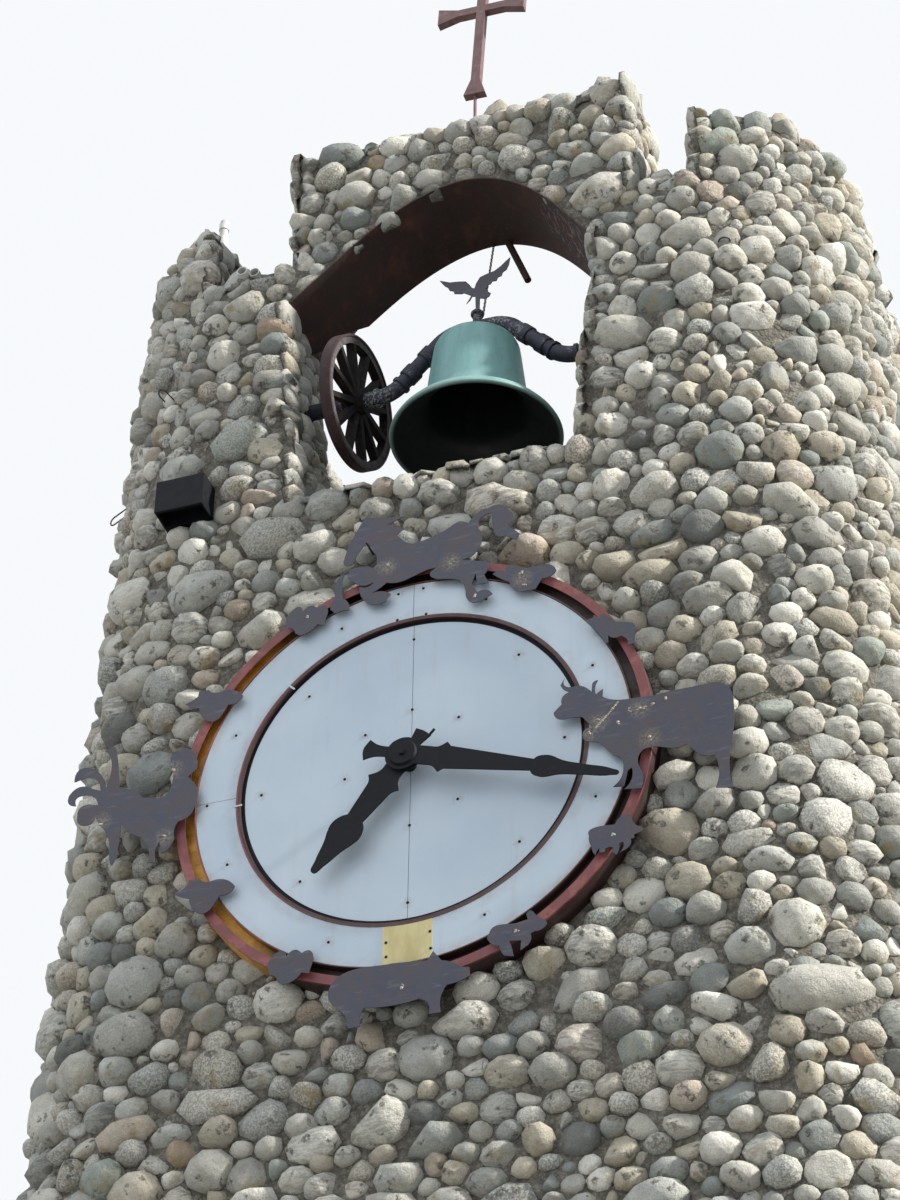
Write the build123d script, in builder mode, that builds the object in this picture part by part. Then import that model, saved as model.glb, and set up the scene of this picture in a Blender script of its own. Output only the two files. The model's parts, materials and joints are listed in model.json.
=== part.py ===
"""Cobblestone clock tower with a swinging bell, in millimetres.

+Z is up, the clock looks along -Y, and the origin is on the tower's axis at ground level.
"""
import math
import os

from build123d import *

os.makedirs("parts", exist_ok=True)

# Tower: a rounded square whose front is plumb and whose other three sides lean in
HALF_TOP = 2570
HALF_FOOT = 3250
CORNER_RADIUS = 1100
FRONT_WALL = 600
ROOM_HALF = HALF_TOP - FRONT_WALL
ROOM_RADIUS = 500
FRONT_Y = -HALF_TOP
WALL_HEIGHT = 16500
MERLON_RISE = 600
MERLON_TOP = WALL_HEIGHT + MERLON_RISE
GABLE_RISE = 1050
PARAPET_HEIGHT = WALL_HEIGHT + GABLE_RISE
SLAB = 250
SPRING_BELOW_TOP = 400
SPRING_Z = WALL_HEIGHT - SPRING_BELOW_TOP
OPENING_HEIGHT = 1800
SILL_Z = SPRING_Z - OPENING_HEIGHT
FLOOR_BELOW_SILL = 150
BELFRY_FLOOR = 200

# Masonry joints between the segments
FRONT_HALF = 1500
SIDE_HALF = 1000
MERLON_HALF = 450
BACK_MERLON_HALF = 900
NOTCH_RIGHT_X = 1730
NOTCH_LEFT_X = -1820

# Belfry opening and its arch
OPEN_LEFT_FOOT = -1060
OPEN_LEFT_HEAD = -1200
OPEN_RIGHT_FOOT = 960
OPEN_RIGHT_HEAD = 1010
LEDGE = 70
LEDGE_BELOW_AXIS = 130
CROWN_X = 130
CROWN_RISE = 820
HAUNCH_LEFT = (-750, 400)
SHOULDER_LEFT = (-260, 740)
SHOULDER_RIGHT = (440, 700)
HAUNCH_RIGHT = (750, 380)
GABLE_LEFT = -1180
GABLE_RIGHT = 1300
LINING = 10
LINING_PROUD = 40
TORN_HEIGHT = 330
TORN_DEPTH = 170

# Dial
DIAL_X = -150
DIAL_BELOW_SILL = 2400
DIAL_Z = SILL_Z - DIAL_BELOW_SILL
DIAL_GAP = 160
DIAL_Y = FRONT_Y - DIAL_GAP
DIAL_RADIUS = 1370
HOOP_OUTER = 1112
HOOP_LIP = 26
HOOP_INNER = HOOP_OUTER - HOOP_LIP
HOOP_WEB = 6
HOOP_LAP = 12
GROOVE = 26
DISC_RADIUS = HOOP_INNER - GROOVE
PANEL = 5
DISC_RECESS = 18
BACKING = 12
SEAM = 3
RAIL_LENGTH = 2200
RAIL_HEIGHT = 80
RAIL_SPACING = 1500
RIM_OUTER = 1500
RIM_LIP = 60
RIM_GAP = 3
RIM_PLATE = 7
RIM_WEB_DEPTH = 60
RIM_PROUD = 6
PATCH_WIDTH = 300
PATCH_X = 10

# Hands
SHAFT_GAP = 0.3
ARBOR_RADIUS = 11
PIPE_BORE = ARBOR_RADIUS + SHAFT_GAP
PIPE_RADIUS = 21
BUSH_BORE = PIPE_RADIUS + SHAFT_GAP
BUSH_RADIUS = 36
HAND_PLATE = 8
HOUR_OFFSET = 95
MINUTE_OFFSET = 125
HUB_RADIUS = 100
HAND_NECK = 34
HAND_SHOULDER = 66
MINUTE_LENGTH = 1390
HOUR_LENGTH = 900
MINUTE_BULB = 62
HOUR_BULB = 70
MINUTE_TAIL = 190
HOUR_TAIL = 170
MINUTE_ANGLE = -18
HOUR_ANGLE = -128
HUB_CAP_HEIGHT = 14
HUB_BOLT_RADIUS = 22

# Animal plates
PLATE = 5
PLATE_OFFSET = 50
PIN_RADIUS = 7

# Bell and its yoke
BELL_X = 96
AXIS_Y = FRONT_Y + 290
AXIS_ABOVE_SILL = 1060
AXIS_Z = SILL_Z + AXIS_ABOVE_SILL
BELL_LIP_BELOW = 480
BELL_HEIGHT = 950
BELL_MOUTH = 577
BELL_WAIST = 300
BELL_SHOULDER = 262
BELL_CROWN = 70
BELL_WALL = 28
YOKE_RADIUS = 57
YOKE_RISE = 545
YOKE_TOP_Z = AXIS_Z + YOKE_RISE
YOKE_REACH = 610
YOKE_SHOULDER = 205
YOKE_BEND = 90
COUPLING_WALL = 11
COUPLING_LENGTH = 70
JOURNAL_GAP = 0.3
BEARING_WALL = 14
BEARING_LENGTH = 150
BEARING_PROUD = 30
BEARING_RADIUS = YOKE_RADIUS + JOURNAL_GAP + BEARING_WALL
POST_RADIUS = 22
POST_ABOVE = 130
EAGLE_FEET = 735

# Chain from the arch to the crown post, parted where the eagle swings past
CHAIN_RADIUS = 9
CHAIN_TOP = (CROWN_X - 20, FRONT_Y + FRONT_WALL + 20)
CHAIN_PART = 0.52
CHAIN_SLACK = 12

# Pipe under the back edge of the arch
ARCH_PIPE_RADIUS = 25
ARCH_PIPE_LEAN = 170
ARCH_PIPE_DROP = 440

# Wagon wheel
WHEEL_X = -770
WHEEL_RADIUS = 475
TYRE_DEPTH = 16
FELLOE_DEPTH = 48
WHEEL_WIDTH = 80
SPOKES = 12
SPOKE_ROOT = 48
SPOKE_TIP = 36
SPOKE_THICK = 60
NAVE_RADIUS = 88
NAVE_HALF = 75
WHEEL_CANT_Y = -0.09
WHEEL_CANT_Z = -0.12

# Cross on the gable
CROSS_X = 118
CROSS_BACK = 140
CROSS_LEAN = 3
ROD_RADIUS = 12
ROD_HEIGHT = 426
CROSS_HEIGHT = 1250
CROSS_THICK = 60
CROSS_BAR = 68
CROSS_FLARE = 164
FLARE_LENGTH = 155
ARM_REACH = 335

# Small fittings
VENT_FROM_SIDE = 490
VENT_X = VENT_FROM_SIDE - HALF_TOP
VENT_FROM_FRONT = 720
VENT_Y = FRONT_Y + VENT_FROM_FRONT
VENT_RADIUS = 32
VENT_HEIGHT = 850
VENT_COLLAR = 60
WALL_BOX = (-1810, SILL_Z + 150)
WALL_BOX_SIZE = (340, 260)
WALL_BOX_PROUD = 190
STUB_X = -1540
STUB_RADIUS = 38
STUB_WALL = 6
STUB_LENGTH = 420
STUB_PROUD = 60
STUB_STAGGER = 40
HOOK_RADIUS = 5
HOOK_WIDTH = 75


# Where the bearing pockets end inside the jambs
AXIS_SHARE = (AXIS_Z - SILL_Z) / (SPRING_Z - SILL_Z)
LEFT_FACE = OPEN_LEFT_FOOT + AXIS_SHARE * (OPEN_LEFT_HEAD - OPEN_LEFT_FOOT)
RIGHT_FACE = OPEN_RIGHT_FOOT + AXIS_SHARE * (OPEN_RIGHT_HEAD - OPEN_RIGHT_FOOT)
LEFT_POCKET = LEFT_FACE + BEARING_PROUD - BEARING_LENGTH
RIGHT_POCKET = RIGHT_FACE - BEARING_PROUD + BEARING_LENGTH


def save(piece, name):
    piece.part.label = name
    export_step(piece.part, f"parts/{name}.step")


def plan(half_width, depth, height):
    """Rounded square at one height, held flush with the plumb front."""
    with BuildSketch(Plane.XY.offset(height)) as outline:
        with Locations((0, FRONT_Y + depth / 2)):
            RectangleRounded(2 * half_width, depth, CORNER_RADIUS)
    return outline


# Outer skin of the whole tower, shared by every masonry segment
foot = plan(HALF_FOOT, HALF_TOP + HALF_FOOT, 0)
head = plan(HALF_TOP, 2 * HALF_TOP, PARAPET_HEIGHT)
with BuildPart() as skin:
    add(foot.sketch)
    add(head.sketch)
    loft(ruled=True)
with BuildPart() as room:
    with BuildSketch():
        RectangleRounded(2 * ROOM_HALF, 2 * ROOM_HALF, ROOM_RADIUS)
    extrude(amount=PARAPET_HEIGHT + SLAB)
shell = skin.part - room.part


def block(x_low, x_high, y_low, y_high, z_low, z_high):
    """Loose box between six planes, for trimming."""
    with BuildPart() as trim:
        with Locations(((x_low + x_high) / 2, (y_low + y_high) / 2, (z_low + z_high) / 2)):
            Box(x_high - x_low, y_high - y_low, z_high - z_low)
    return trim.part


def segment(x_low, x_high, y_low, y_high, z_low, z_high, notches=()):
    """Piece of the shell inside one box, less its crenels."""
    with BuildPart() as piece:
        add(shell)
        add(block(x_low, x_high, y_low, y_high, z_low, z_high), mode=Mode.INTERSECT)
        for notch in notches:
            add(block(*notch), mode=Mode.SUBTRACT)
    return piece


FAR = 2 * HALF_FOOT
TOP = PARAPET_HEIGHT + SLAB

# Corners, each with its own merlon
save(
    segment(-FAR, -FRONT_HALF, -FAR, -SIDE_HALF, 0, MERLON_TOP,
            [(NOTCH_LEFT_X, 0, -FAR, 0, WALL_HEIGHT, TOP)]),
    "front_left_corner",
)
save(
    segment(FRONT_HALF, FAR, -FAR, -SIDE_HALF, 0, MERLON_TOP,
            [(0, NOTCH_RIGHT_X, -FAR, 0, WALL_HEIGHT, TOP)]),
    "front_right_corner",
)
save(segment(-FAR, -FRONT_HALF, SIDE_HALF, FAR, 0, MERLON_TOP), "back_left_corner")
save(segment(FRONT_HALF, FAR, SIDE_HALF, FAR, 0, MERLON_TOP), "back_right_corner")

# Side and back walls with a merlon in the middle
side_notches = [
    (-FAR, FAR, -SIDE_HALF, -MERLON_HALF, WALL_HEIGHT, TOP),
    (-FAR, FAR, MERLON_HALF, SIDE_HALF, WALL_HEIGHT, TOP),
]
save(segment(-FAR, -1, -SIDE_HALF, SIDE_HALF, 0, MERLON_TOP, side_notches), "left_wall")
save(segment(1, FAR, -SIDE_HALF, SIDE_HALF, 0, MERLON_TOP, side_notches), "right_wall")
back_notches = [
    (-FRONT_HALF, -BACK_MERLON_HALF, 0, FAR, WALL_HEIGHT, TOP),
    (BACK_MERLON_HALF, FRONT_HALF, 0, FAR, WALL_HEIGHT, TOP),
]
save(segment(-FRONT_HALF, FRONT_HALF, 1, FAR, 0, MERLON_TOP, back_notches), "back_wall")

# Front: wall up to the belfry sill, two jambs and the arched gable
save(segment(-FRONT_HALF, FRONT_HALF, -FAR, -1, 0, SILL_Z), "front_wall")


def jamb(name, outline, pocket_x):
    """Pier beside the belfry opening, with a pocket for the bell's bearing."""
    with BuildPart() as pier:
        with BuildSketch(Plane.XZ.offset(-FRONT_Y)):
            with BuildLine():
                Polyline(*outline, close=True)
            make_face()
        extrude(amount=-FRONT_WALL)
        with Locations(Plane.YZ.offset(pocket_x / 2) * Location((AXIS_Y, AXIS_Z))):
            Cylinder(BEARING_RADIUS, abs(pocket_x), mode=Mode.SUBTRACT)
    save(pier, name)


LEDGE_Z = AXIS_Z - LEDGE_BELOW_AXIS
LEDGE_X = OPEN_RIGHT_FOOT + (LEDGE_Z - SILL_Z) / (SPRING_Z - SILL_Z) * (OPEN_RIGHT_HEAD - OPEN_RIGHT_FOOT)
jamb(
    "left_jamb",
    [(-FRONT_HALF, SILL_Z), (OPEN_LEFT_FOOT, SILL_Z), (OPEN_LEFT_HEAD, SPRING_Z),
     (-FRONT_HALF, SPRING_Z)],
    LEFT_POCKET,
)
jamb(
    "right_jamb",
    [(FRONT_HALF, SILL_Z), (OPEN_RIGHT_FOOT - LEDGE, SILL_Z), (LEDGE_X - LEDGE, LEDGE_Z),
     (LEDGE_X, LEDGE_Z), (OPEN_RIGHT_HEAD, SPRING_Z), (FRONT_HALF, SPRING_Z)],
    RIGHT_POCKET,
)


def arch_curve(grow):
    """Underside of the arch through its springings, haunches, shoulders and crown."""
    above = [HAUNCH_LEFT, SHOULDER_LEFT, (CROWN_X, CROWN_RISE), SHOULDER_RIGHT, HAUNCH_RIGHT]
    bearing_points = [(OPEN_LEFT_HEAD, 0), *above, (OPEN_RIGHT_HEAD, 0)]
    half_span = (OPEN_RIGHT_HEAD - OPEN_LEFT_HEAD) / 2
    return [
        (x + grow * (x - CROWN_X) / half_span, SPRING_Z + rise + grow * rise / CROWN_RISE)
        for x, rise in bearing_points
    ]


with BuildPart() as gable:
    with BuildSketch(Plane.XZ.offset(-FRONT_Y)):
        with BuildLine():
            Polyline((-FRONT_HALF, SPRING_Z), (-FRONT_HALF, WALL_HEIGHT),
                     (GABLE_LEFT, WALL_HEIGHT), (GABLE_LEFT, PARAPET_HEIGHT),
                     (GABLE_RIGHT, PARAPET_HEIGHT), (GABLE_RIGHT, WALL_HEIGHT),
                     (FRONT_HALF, WALL_HEIGHT), (FRONT_HALF, SPRING_Z), close=True)
        make_face()
        with BuildLine():
            opening = Spline(*arch_curve(LINING))
            Polyline(opening @ 1, (OPEN_RIGHT_HEAD + LINING, SILL_Z),
                     (OPEN_LEFT_HEAD - LINING, SILL_Z), opening @ 0)
        make_face(mode=Mode.SUBTRACT)
    extrude(amount=-FRONT_WALL)
save(gable, "arch_gable")

# Rolled plate under the arch; its lower left corner at the back has rusted away
BARREL_DEPTH = FRONT_WALL + 2 * LINING_PROUD
with BuildPart() as lining:
    with BuildSketch(Plane.XZ.offset(-FRONT_Y + LINING_PROUD)):
        with BuildLine():
            outside = Spline(*arch_curve(LINING))
            inside = Spline(*arch_curve(0))
            Line(outside @ 0, inside @ 0)
            Line(outside @ 1, inside @ 1)
        make_face()
    extrude(amount=-BARREL_DEPTH)
    with BuildSketch(Plane.YZ.offset(OPEN_LEFT_HEAD - 2 * LINING)):
        back_edge = FRONT_Y + FRONT_WALL + LINING_PROUD
        with BuildLine():
            Polyline((back_edge + LINING, SPRING_Z - LINING),
                     (back_edge - TORN_DEPTH, SPRING_Z - LINING),
                     (back_edge - 0.55 * TORN_DEPTH, SPRING_Z + 0.3 * TORN_HEIGHT),
                     (back_edge - 0.6 * TORN_DEPTH, SPRING_Z + 0.6 * TORN_HEIGHT),
                     (back_edge + LINING, SPRING_Z + TORN_HEIGHT), close=True)
        make_face()
    extrude(amount=-HAUNCH_LEFT[0], mode=Mode.SUBTRACT)
save(lining, "arch_lining")

# Bent pipe hanging from the back of the barrel, cut to the curve that it is welded to
pipe_y = FRONT_Y + FRONT_WALL + LINING_PROUD - ARCH_PIPE_RADIUS - 1
pipe_top = (CROWN_X + 60, pipe_y, SPRING_Z + CROWN_RISE + 50)
pipe_end = (CROWN_X + 60 + ARCH_PIPE_LEAN, pipe_y, SPRING_Z + CROWN_RISE - ARCH_PIPE_DROP)
with BuildPart() as arch_pipe:
    with BuildLine() as pipe_route:
        Line(pipe_top, pipe_end)
    with BuildSketch(Plane(origin=pipe_top, z_dir=pipe_route.line % 0)):
        Circle(ARCH_PIPE_RADIUS)
    sweep(path=pipe_route.line)
    add(gable.part, mode=Mode.SUBTRACT)
    add(lining.part, mode=Mode.SUBTRACT)
    hanging = arch_pipe.solids().sort_by(Axis.Z)[0]
arch_pipe.part = Part([hanging])
save(arch_pipe, "arch_pipe")

# Floors
FLOOR_TOP = SILL_Z - FLOOR_BELOW_SILL
with BuildPart() as ground_slab:
    with BuildSketch():
        RectangleRounded(2 * ROOM_HALF, 2 * ROOM_HALF, ROOM_RADIUS)
    extrude(amount=SLAB)
save(ground_slab, "ground_slab")
with BuildPart() as belfry_floor:
    with BuildSketch(Plane.XY.offset(FLOOR_TOP - BELFRY_FLOOR)):
        RectangleRounded(2 * ROOM_HALF, 2 * ROOM_HALF, ROOM_RADIUS)
    extrude(amount=BELFRY_FLOOR)
save(belfry_floor, "belfry_floor")


# Clock, drawn on planes whose x and y run along world X and Z
def dial_plane(offset, angle=0):
    """Plane facing the viewer, offset forward of the white annulus and turned about its centre."""
    along = (math.cos(math.radians(angle)), 0, math.sin(math.radians(angle)))
    return Plane(origin=(DIAL_X, DIAL_Y - offset, DIAL_Z), x_dir=along, z_dir=(0, -1, 0))


def ring(outer, inner, front, thickness):
    """Flat ring whose front face stands the given distance forward of the dial."""
    with BuildPart() as hoop:
        with BuildSketch(dial_plane(front)):
            Circle(outer)
            if inner:
                Circle(inner, mode=Mode.SUBTRACT)
        extrude(amount=-thickness)
    return hoop


with BuildPart() as dial_ring:
    with BuildSketch(dial_plane(0)):
        Circle(DIAL_RADIUS)
        Circle(HOOP_OUTER - HOOP_LAP, mode=Mode.SUBTRACT)
        Rectangle(2 * RIM_OUTER, SEAM, mode=Mode.SUBTRACT)
        Rectangle(SEAM, 2 * RIM_OUTER, mode=Mode.SUBTRACT)
    extrude(amount=-PANEL)
save(dial_ring, "dial_ring")

with BuildPart() as dial_disc:
    with BuildSketch(dial_plane(-DISC_RECESS)):
        Circle(DISC_RADIUS)
        Rectangle(SEAM, 2 * DISC_RADIUS, mode=Mode.SUBTRACT)
        Circle(BUSH_RADIUS + 1, mode=Mode.SUBTRACT)
    extrude(amount=-PANEL)
save(dial_disc, "dial_disc")

with BuildPart() as dial_hoop:
    add(ring(HOOP_OUTER, HOOP_INNER, 4, 4).part)
    add(ring(HOOP_INNER + HOOP_WEB, HOOP_INNER, 0, DISC_RECESS + PANEL).part)
save(dial_hoop, "dial_hoop")

# Backing of the panels on two rails that stand off the wall
BACKING_BACK = PANEL + DISC_RECESS + BACKING
with BuildPart() as dial_backing:
    add(ring(DIAL_RADIUS - 4, HOOP_OUTER - HOOP_LAP - 2, -PANEL, DISC_RECESS).part)
    add(ring(DIAL_RADIUS - 4, BUSH_RADIUS, -PANEL - DISC_RECESS, BACKING).part)
    with BuildSketch(dial_plane(-BACKING_BACK)):
        with GridLocations(0, RAIL_SPACING, 1, 2):
            Rectangle(RAIL_LENGTH, RAIL_HEIGHT)
    extrude(amount=-(DIAL_GAP - BACKING_BACK))
save(dial_backing, "dial_backing")

with BuildPart() as clock_rim:
    add(ring(RIM_OUTER, RIM_OUTER - RIM_LIP, RIM_PROUD, RIM_PLATE).part)
    add(ring(RIM_OUTER, RIM_OUTER - RIM_PLATE, RIM_PROUD, DIAL_GAP + RIM_PROUD).part)
    add(ring(RIM_OUTER, DIAL_RADIUS + RIM_GAP, -RIM_WEB_DEPTH, RIM_PLATE).part)
    add(ring(DIAL_RADIUS + RIM_GAP + RIM_PLATE, DIAL_RADIUS + RIM_GAP, RIM_PROUD,
             RIM_WEB_DEPTH + RIM_PROUD + RIM_PLATE).part)
save(clock_rim, "clock_rim")

# Yellowed sheet over the lower seam, trimmed to the hoop and the dial's edge
with BuildPart() as dial_patch:
    with BuildSketch(dial_plane(3)):
        Circle(DIAL_RADIUS - 2)
        Circle(HOOP_OUTER + 2, mode=Mode.SUBTRACT)
        with Locations((PATCH_X, -DIAL_RADIUS)):
            Rectangle(PATCH_WIDTH, DIAL_RADIUS, mode=Mode.INTERSECT)
    extrude(amount=-3)
save(dial_patch, "dial_patch")

# Centre bush, fixed to the backing; the hour pipe turns in it and the minute arbor in the pipe
with BuildPart() as centre_bush:
    add(ring(BUSH_RADIUS - 0.5, BUSH_BORE, HOUR_OFFSET - 15, HOUR_OFFSET - 15 + DIAL_GAP).part)
save(centre_bush, "centre_bush")


def make_hand(length, offset, angle, bulb, tail, shaft_radius, shaft_bore):
    """Spade hand with a fan tail, shoulder, taper, bulb and round tip, on its hub and shaft."""
    bulb_at = 0.66 * length
    root = 0.6 * HUB_RADIUS
    tip_radius = 20
    with BuildPart() as hand:
        with BuildSketch(dial_plane(offset + HAND_PLATE / 2, angle)):
            with BuildLine():
                upper = Spline((root, HAND_NECK), (0.16 * length, HAND_SHOULDER),
                               (0.3 * length, 0.8 * HAND_SHOULDER),
                               (bulb_at - 0.17 * length, 0.55 * HAND_SHOULDER), (bulb_at, bulb),
                               (bulb_at + 0.14 * length, 0.45 * bulb),
                               (length - tip_radius, tip_radius))
                CenterArc((length - tip_radius, 0), tip_radius, 90, -180)
                mirror(upper, about=Plane.XZ)
                Line((root, HAND_NECK), (root, -HAND_NECK))
            make_face()
            with BuildLine():
                Polyline((-root, HAND_NECK), (-tail, 1.7 * HAND_NECK), (-tail, -1.7 * HAND_NECK),
                         (-root, -HAND_NECK), close=True)
            make_face()
            Circle(HUB_RADIUS)
            if shaft_bore:
                Circle(shaft_bore, mode=Mode.SUBTRACT)
        extrude(amount=-HAND_PLATE)
        add(ring(shaft_radius, shaft_bore, offset, offset + DISC_RECESS + 10).part)
    return hand


save(
    make_hand(HOUR_LENGTH, HOUR_OFFSET, HOUR_ANGLE, HOUR_BULB, HOUR_TAIL, PIPE_RADIUS, PIPE_BORE),
    "hour_hand",
)
save(
    make_hand(MINUTE_LENGTH, MINUTE_OFFSET, MINUTE_ANGLE, MINUTE_BULB, MINUTE_TAIL, ARBOR_RADIUS, 0),
    "minute_hand",
)
with BuildPart() as hub_cap:
    with BuildSketch(dial_plane(MINUTE_OFFSET + HAND_PLATE / 2)):
        Circle(HUB_RADIUS - 10)
    extrude(amount=HUB_CAP_HEIGHT, taper=35)
    with BuildSketch(dial_plane(MINUTE_OFFSET + HAND_PLATE / 2 + HUB_CAP_HEIGHT)):
        RegularPolygon(HUB_BOLT_RADIUS, 6)
    extrude(amount=HUB_CAP_HEIGHT)
save(hub_cap, "hub_cap")

# Animal outlines in the dial plane's x and z. Each stretch starts where the one before ends:
# one point is a straight edge, and more are a curve through them.
HORSE = [
    [(-370, 1880), (-425, 1760), (-455, 1660)], [(-450, 1600), (-400, 1600)],
    [(-380, 1645), (-310, 1755)], [(-265, 1695), (-235, 1555)], [(-240, 1520)],
    [(-320, 1560), (-410, 1560)], [(-430, 1515), (-385, 1450)], [(-305, 1405), (-250, 1420)],
    [(-285, 1390), (-345, 1405)], [(-340, 1345), (-305, 1280)], [(-235, 1235), (-170, 1245)],
    [(-135, 1295)], [(-190, 1330), (-270, 1330)], [(-210, 1360), (-165, 1395)],
    [(-55, 1380), (40, 1410), (160, 1430)], [(120, 1390), (175, 1335)],
    [(245, 1320), (315, 1295)], [(345, 1240), (355, 1170)], [(385, 1105), (450, 1090)],
    [(530, 1130)], [(485, 1175), (430, 1170)], [(395, 1245)], [(420, 1320)], [(430, 1230)],
    [(505, 1225)], [(475, 1295)], [(500, 1345), (495, 1390)], [(405, 1425), (330, 1450)],
    [(400, 1470), (455, 1555)], [(460, 1615), (430, 1685)], [(455, 1760), (520, 1780)],
    [(525, 1705), (535, 1635)], [(570, 1575), (615, 1570)], [(685, 1515)], [(705, 1565)],
    [(630, 1650)], [(665, 1700), (630, 1780)], [(570, 1835), (505, 1825)],
    [(425, 1800), (370, 1730)], [(330, 1760), (270, 1750)], [(185, 1705), (85, 1675), (0, 1665)],
    [(-50, 1690)], [(-105, 1760)], [(-60, 1810)], [(-170, 1865)], [(-65, 1905)],
    [(-235, 1935)], [(-325, 1965)],
]
COW = [
    [(965, 240), (1010, 270)], [(970, 300), (955, 330)], [(980, 375)], [(975, 335), (995, 310)],
    [(1025, 300)], [(1075, 300), (1125, 265), (1145, 240)], [(1150, 295)],
    [(1160, 310), (1185, 315)], [(1170, 280), (1170, 215)], [(1215, 245)], [(1210, 190)],
    [(1300, 145), (1390, 135), (1520, 125)], [(1675, 135), (1785, 135), (1880, 140)],
    [(1950, 105), (1990, 10)], [(1985, -180), (1960, -325)], [(1945, -490), (1960, -620)],
    [(1860, -600)], [(1885, -480), (1865, -375)], [(1815, -370), (1765, -340)], [(1705, -260)],
    [(1640, -275), (1555, -250), (1445, -245)], [(1425, -265), (1420, -360)],
    [(1440, -430), (1425, -510)], [(1325, -495)], [(1365, -450), (1375, -355)],
    [(1350, -370)], [(1325, -475)], [(1260, -465)], [(1310, -410), (1325, -340)],
    [(1305, -265), (1265, -245)], [(1215, -175), (1185, -135)], [(1105, -110)],
    [(1085, -50), (1105, -20)], [(1145, -20)], [(1110, 35), (1085, 70)],
    [(1015, 80), (975, 80)], [(930, 95), (910, 140)], [(960, 190)],
]
ROOSTER = [
    [(-1470, 415), (-1410, 385)], [(-1370, 315), (-1370, 235)], [(-1420, 195)], [(-1375, 140)],
    [(-1345, 30), (-1365, -50)], [(-1405, -110), (-1460, -125)], [(-1480, -160), (-1480, -245)],
    [(-1495, -285), (-1525, -325)], [(-1555, -335)], [(-1575, -250)], [(-1600, -305)],
    [(-1595, -395)], [(-1640, -385)], [(-1655, -255), (-1710, -185)],
    [(-1770, -150), (-1840, -65)], [(-1850, -225), (-1860, -315)], [(-1875, -350), (-1905, -240)],
    [(-1925, -140), (-1975, -60)], [(-2025, 25)], [(-2040, -15), (-2080, -25)],
    [(-2130, -5), (-2145, 55)], [(-2135, 110), (-2075, 130)], [(-2010, 110)],
    [(-2055, 185), (-2120, 205)], [(-2165, 190), (-2160, 135)], [(-2215, 165), (-2215, 225)],
    [(-2165, 270), (-2065, 245)], [(-2005, 215)], [(-2040, 305), (-2115, 335)], [(-2190, 320)],
    [(-2165, 405), (-2100, 410)], [(-2020, 350), (-1970, 225)],
    [(-1945, 335), (-1950, 430), (-2000, 515)], [(-1945, 535), (-1915, 470)],
    [(-1895, 360), (-1880, 215)], [(-1810, 185), (-1715, 105)],
    [(-1635, 80), (-1575, 80), (-1535, 120)], [(-1520, 240), (-1540, 325)],
    [(-1540, 380), (-1495, 400)],
]
SOW = [
    [(-400, -1430), (-250, -1385), (-60, -1390)], [(60, -1400), (150, -1410)], [(185, -1355)],
    [(235, -1425)], [(300, -1450), (350, -1490)], [(400, -1500)], [(405, -1555)],
    [(340, -1580), (270, -1590)], [(240, -1640), (235, -1760)], [(165, -1760)],
    [(160, -1690), (110, -1650)], [(-60, -1665), (-220, -1650)], [(-245, -1700), (-240, -1765)],
    [(-315, -1765)], [(-330, -1690), (-390, -1620)], [(-440, -1540), (-430, -1470)],
]
RUNNING_RABBIT = [
    [(570, 1300), (615, 1280)], [(615, 1320)], [(655, 1330)], [(700, 1305), (750, 1275)],
    [(805, 1280), (865, 1280)], [(920, 1250), (940, 1210)], [(900, 1175), (850, 1170)],
    [(825, 1135), (805, 1100)], [(750, 1100), (690, 1110)], [(655, 1145), (640, 1195)],
    [(590, 1230), (530, 1285)],
]
LAMB = [
    [(1150, 785), (1165, 790)], [(1170, 810)], [(1190, 790), (1205, 770)],
    [(1220, 800), (1245, 790)], [(1270, 765), (1295, 725)], [(1335, 715), (1400, 695)],
    [(1420, 675), (1420, 640)], [(1420, 590), (1410, 535)], [(1375, 530)],
    [(1370, 575), (1335, 610)], [(1295, 605), (1255, 635)], [(1255, 580)], [(1240, 575)],
    [(1180, 685), (1125, 760)], [(1120, 785)],
]
PIG = [
    [(1155, -720), (1210, -720), (1265, -725)], [(1280, -695)], [(1310, -675)],
    [(1355, -680), (1365, -720)], [(1380, -745), (1420, -770)], [(1425, -785), (1415, -805)],
    [(1375, -815)], [(1375, -840)], [(1355, -840)], [(1350, -880), (1325, -905)],
    [(1285, -920)], [(1310, -890), (1310, -850)], [(1285, -855)], [(1285, -895), (1270, -930)],
    [(1240, -905)], [(1255, -890), (1235, -870)], [(1205, -875)], [(1200, -900)],
    [(1170, -895)], [(1170, -865)], [(1155, -885), (1145, -910)], [(1130, -880), (1125, -850)],
    [(1110, -805), (1110, -770)], [(1110, -740), (1120, -730)],
]
PIGLET = [
    [(545, -1265), (605, -1260), (690, -1265)], [(745, -1255)], [(735, -1220)],
    [(755, -1200), (780, -1215)], [(800, -1245), (840, -1275)], [(855, -1300), (845, -1320)],
    [(825, -1335), (785, -1340)], [(760, -1350)], [(760, -1395), (740, -1425)], [(700, -1450)],
    [(705, -1385)], [(635, -1375)], [(650, -1425), (660, -1480)], [(605, -1465)],
    [(585, -1430), (575, -1395)], [(540, -1385), (515, -1355)], [(505, -1330), (515, -1310)],
]
SHEEP = [
    [(-830, 1270), (-795, 1325)], [(-745, 1345), (-720, 1300)], [(-670, 1335), (-625, 1305)],
    [(-580, 1315), (-550, 1250)], [(-565, 1205), (-575, 1160)], [(-620, 1175)],
    [(-660, 1135), (-735, 1115)], [(-765, 1140)], [(-780, 1175), (-815, 1195)],
]
CAT = [
    [(-530, 1310), (-505, 1350)], [(-510, 1435), (-480, 1525)], [(-450, 1540)],
    [(-465, 1440), (-455, 1340)], [(-420, 1300), (-410, 1235)], [(-470, 1240), (-500, 1230)],
    [(-535, 1270)],
]
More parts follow.
